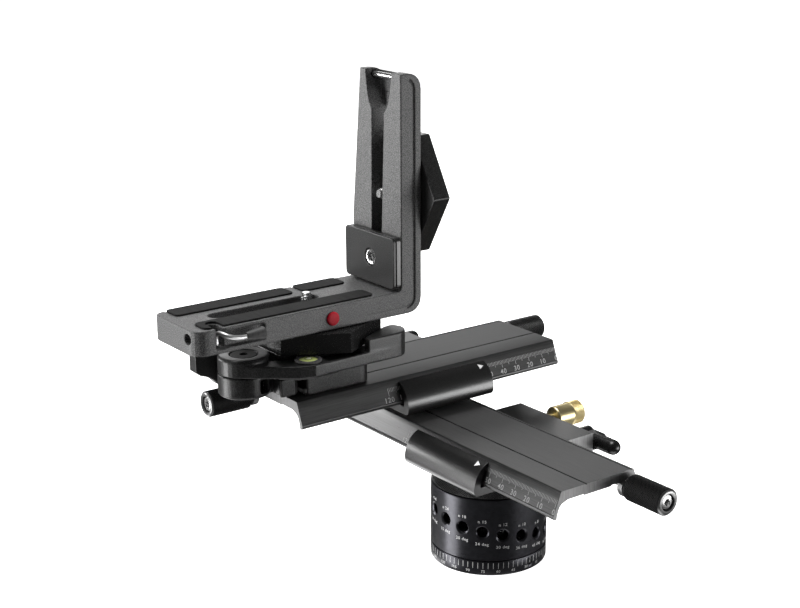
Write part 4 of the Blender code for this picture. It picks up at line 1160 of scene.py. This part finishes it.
def stop_lever():
    """The bent wire and the turned sleeve that holds it."""
    radius = 1.25 * MM
    low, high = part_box("stop_lever")
    pivot = Vector((low.x + radius, high.y - radius, low.z))
    steps = [(0, 0, 0), (0, 0, 3.6), (0.15, -0.8, 5.6), (0.5, -3.2, 6.55), (1.4, -6.2, 6.3),
             (3.2, -8.1, 5.5), (6.0, -8.85, 4.7), (9.5, -9.0, 4.2), (12.4, -8.9, 4.05),
             (16.0, -8.9, 4.15)]
    stand_for("stop_lever", wire([pivot + Vector(step) * MM for step in steps], radius), "wire")
    place, length = on_axis("stop_lever_sleeve", (1, 0, 0))
    sleeve = near(0, 0, (0, 0.3), (1.3, 0), (1.9, 0.1), (2.1, 0.5))
    sleeve += near(0, length, (3.25, -1.4), (3.35, -0.8), (3.0, -0.25), (2.2, -0.1), (0, -0.1))
    stand_for("stop_lever_sleeve", lathe(sleeve, 64), "plastic", place)


def pads():
    for node in ("rear_pad_left", "rear_pad_right", "front_pad"):
        machined(node, "rubber", 0.25 * MM)


def badge():
    place, length = on_axis("badge", (0, -1, 0))
    radius = width("badge", 0) / 2
    rings = [(0, 0), *near(radius, 0, (0, 0), (0, 0.45), (-0.15, 0.7), (-0.5, 0.85)),
             (radius - 1.4 * MM, length), (0, length)]
    stand_for("badge", lathe(rings, 64), "red", place)


def backstop():
    machined("backstop_plate", "cast", 0.3 * MM)
    machined("backstop_slider", "plate_edge", 0.2 * MM)
    place, length = on_axis("backstop_screw", (-1, 0, 0))
    radius = width("backstop_screw", 1) / 2
    rings = [*near(0, 0, (0, 0), (2.9, 0)), *near(0, length, (2.9, -1.5)),
             *near(radius, length, (0, -1.5), (0, -0.3), (-0.3, 0)), (0, length)]
    screw = stand_for("backstop_screw", lathe(rings, 64), "steel", place)
    carve(screw, prism(hexagon(2.3 * MM), length - 1.3 * MM, length + MM), place)


def side_plate():
    """The quick-release plate on the upright, and the slotted screw that holds it."""
    machined("side_plate", "cast", 0.8 * MM)
    place, length = on_axis("side_plate_screw", (1, 0, 0))
    radius = width("side_plate_screw", 1) / 2
    head = length - 5.7 * MM
    cap = [*near(0, head, (0, -0.5), (3, -0.5), (3, 0)), (radius, head),
           *near(radius, length, (0, -0.6), (-0.6, 0)), (0, length)]
    core = [*near(0, 0, (0, 0), (2, 0), (2.5, 0.5)), (2.5 * MM, head), (0, head)]
    screw = thread(CAMERA_THREAD, 0.55 * MM, CAMERA_PITCH, 0.5 * MM, head, 40)
    stand_for("side_plate_screw", merged(lathe(cap, 64), screw, lathe(core, 40)), "steel", place)
    # A flat black box stands in the slot as painted shade for its recess.
    slot = box_shape((-0.7 * MM, -radius * 0.7, length - 1.2 * MM),
                     (0.7 * MM, radius * 0.7, length + 0.01 * MM))
    made("side_screw_slot_shade", slot, "dark", "side_plate", place)


def bracket():
    casting("l_bracket", "powder", 0.4 * MM, 4, keep=0.3)
    camera_screw()
    stop_lever()
    pads()
    badge()
    backstop()
    side_plate()
    place, length = on_axis("top_pin", (0, 1, 0))
    radius = width("top_pin", 2) / 2
    pin = [(0, 0), *near(radius, 0, (-0.2, 0), (0, 0.2)), *near(radius, length, (0, -0.2), (-0.2, 0)),
           (0, length)]
    stand_for("top_pin", lathe(pin, 48), "steel", place)


# ---- stage, light and camera

WORLD_LIGHT = 0.08


def area_light(name, place, aim, size, power):
    data = bpy.data.lights.new(name, "AREA")
    data.shape = "RECTANGLE"
    data.size, data.size_y = size
    data.energy = power
    lamp = bpy.data.objects.new(name, data)
    lamp.location = place
    way = Vector(aim) - Vector(place)
    lamp.rotation_euler = way.to_track_quat("-Z", "Y").to_euler()
    bpy.context.scene.collection.objects.link(lamp)
    return lamp


def stage():
    """A white floor that only the camera sees, so that the lights alone shape the object."""
    shader = Shader("stage_floor", grey(0.9), 0.9, emission_color=(1, 1, 1, 1), emission_strength=1.0)
    bm = bmesh.new()
    bmesh.ops.create_grid(bm, x_segments=1, y_segments=1, size=4)
    floor = linked("stage_floor", bm, shader.material)
    floor.visible_diffuse = False
    floor.visible_glossy = False
    floor.visible_shadow = False


def studio_world():
    """White to look at, but dim as a light, so that the softboxes shape the object."""
    world = bpy.data.worlds.new("studio")
    world.use_nodes = True
    tree = world.node_tree
    path = tree.nodes.new("ShaderNodeLightPath")
    level = tree.nodes.new("ShaderNodeMapRange")
    level.inputs["To Min"].default_value = WORLD_LIGHT
    level.inputs["To Max"].default_value = 1.0
    tree.links.new(path.outputs["Is Camera Ray"], level.inputs["Value"])
    background = tree.nodes["Background"]
    background.inputs["Color"].default_value = (1, 1, 1, 1)
    tree.links.new(level.outputs["Result"], background.inputs["Strength"])
    bpy.context.scene.world = world


def lights():
    """Softboxes round the object. Each is where the faces it lights throw its reflection."""
    studio_world()
    middle = Vector((-0.02, 0.03, 0.1))
    for name, way, reach, size, power, seen_by in (
        ("left_softbox", (-0.8, 0.62, 0.35), 1.3, (0.8, 1.0), 18, "diffuse"),
        ("right_softbox", (0.92, -0.42, 0.25), 1.3, (0.6, 0.9), 16, "diffuse"),
        ("drum_strip", (-0.89, 0.45, -0.27), 1.2, (0.5, 0.9), 15, "both"),
        ("jaw_strip", (0.58, -0.8, -0.12), 1.4, (1.1, 0.55), 13, "glossy"),
        ("lower_jaw_strip", (-0.12, 0.78, -0.7), 1.3, (1.0, 0.35), 4, "both"),
        ("flange_strip", (-0.54, 0.82, 0.2), 1.2, (0.28, 0.4), 7, "glossy"),
        ("top_softbox", (-0.1, 0.2, 1.0), 1.3, (0.9, 0.7), 15, "both"),
        ("back_softbox", (0.45, 0.85, 0.32), 1.4, (0.9, 0.5), 3.5, "both"),
        ("floor_bounce", (-0.1, -0.35, -1.0), 1.2, (1.2, 0.9), 7, "both"),
    ):
        place = middle + Vector(way).normalized() * reach
        lamp = area_light(name, place, middle, size, power)
        lamp.visible_glossy = seen_by != "diffuse"
        lamp.visible_diffuse = seen_by != "glossy"


def photo_camera():
    """The camera stands to the left and in front, a little above the object."""
    azimuth = math.radians(-36.8)
    elevation = math.radians(16.8)
    roll = math.radians(-0.176)
    back = Vector((math.sin(azimuth) * math.cos(elevation),
                   -math.cos(azimuth) * math.cos(elevation), math.sin(elevation)))
    level = ray(azimuth)
    rise = back.cross(level)
    right = level * math.cos(roll) + rise * math.sin(roll)
    up = rise * math.cos(roll) - level * math.sin(roll)
    data = bpy.data.cameras.new("photo_camera")
    data.sensor_width = 36
    data.lens = 69.94
    data.shift_x = -0.01368
    data.shift_y = 0.01643
    camera = bpy.data.objects.new("photo_camera", data)
    pose = Matrix((right, up, back)).transposed().to_4x4()
    pose.translation = Vector((-0.5026, -0.6015, 0.3705))
    camera.matrix_world = pose
    bpy.context.scene.collection.objects.link(camera)
    bpy.context.scene.camera = camera


pan_unit()
sliding_unit("lower")
sliding_unit("upper")
machined("adapter_plate", "satin", 0.4 * MM)
clamp()
bracket()
stage()
lights()
photo_camera()
bpy.context.scene.view_settings.view_transform = "Standard"
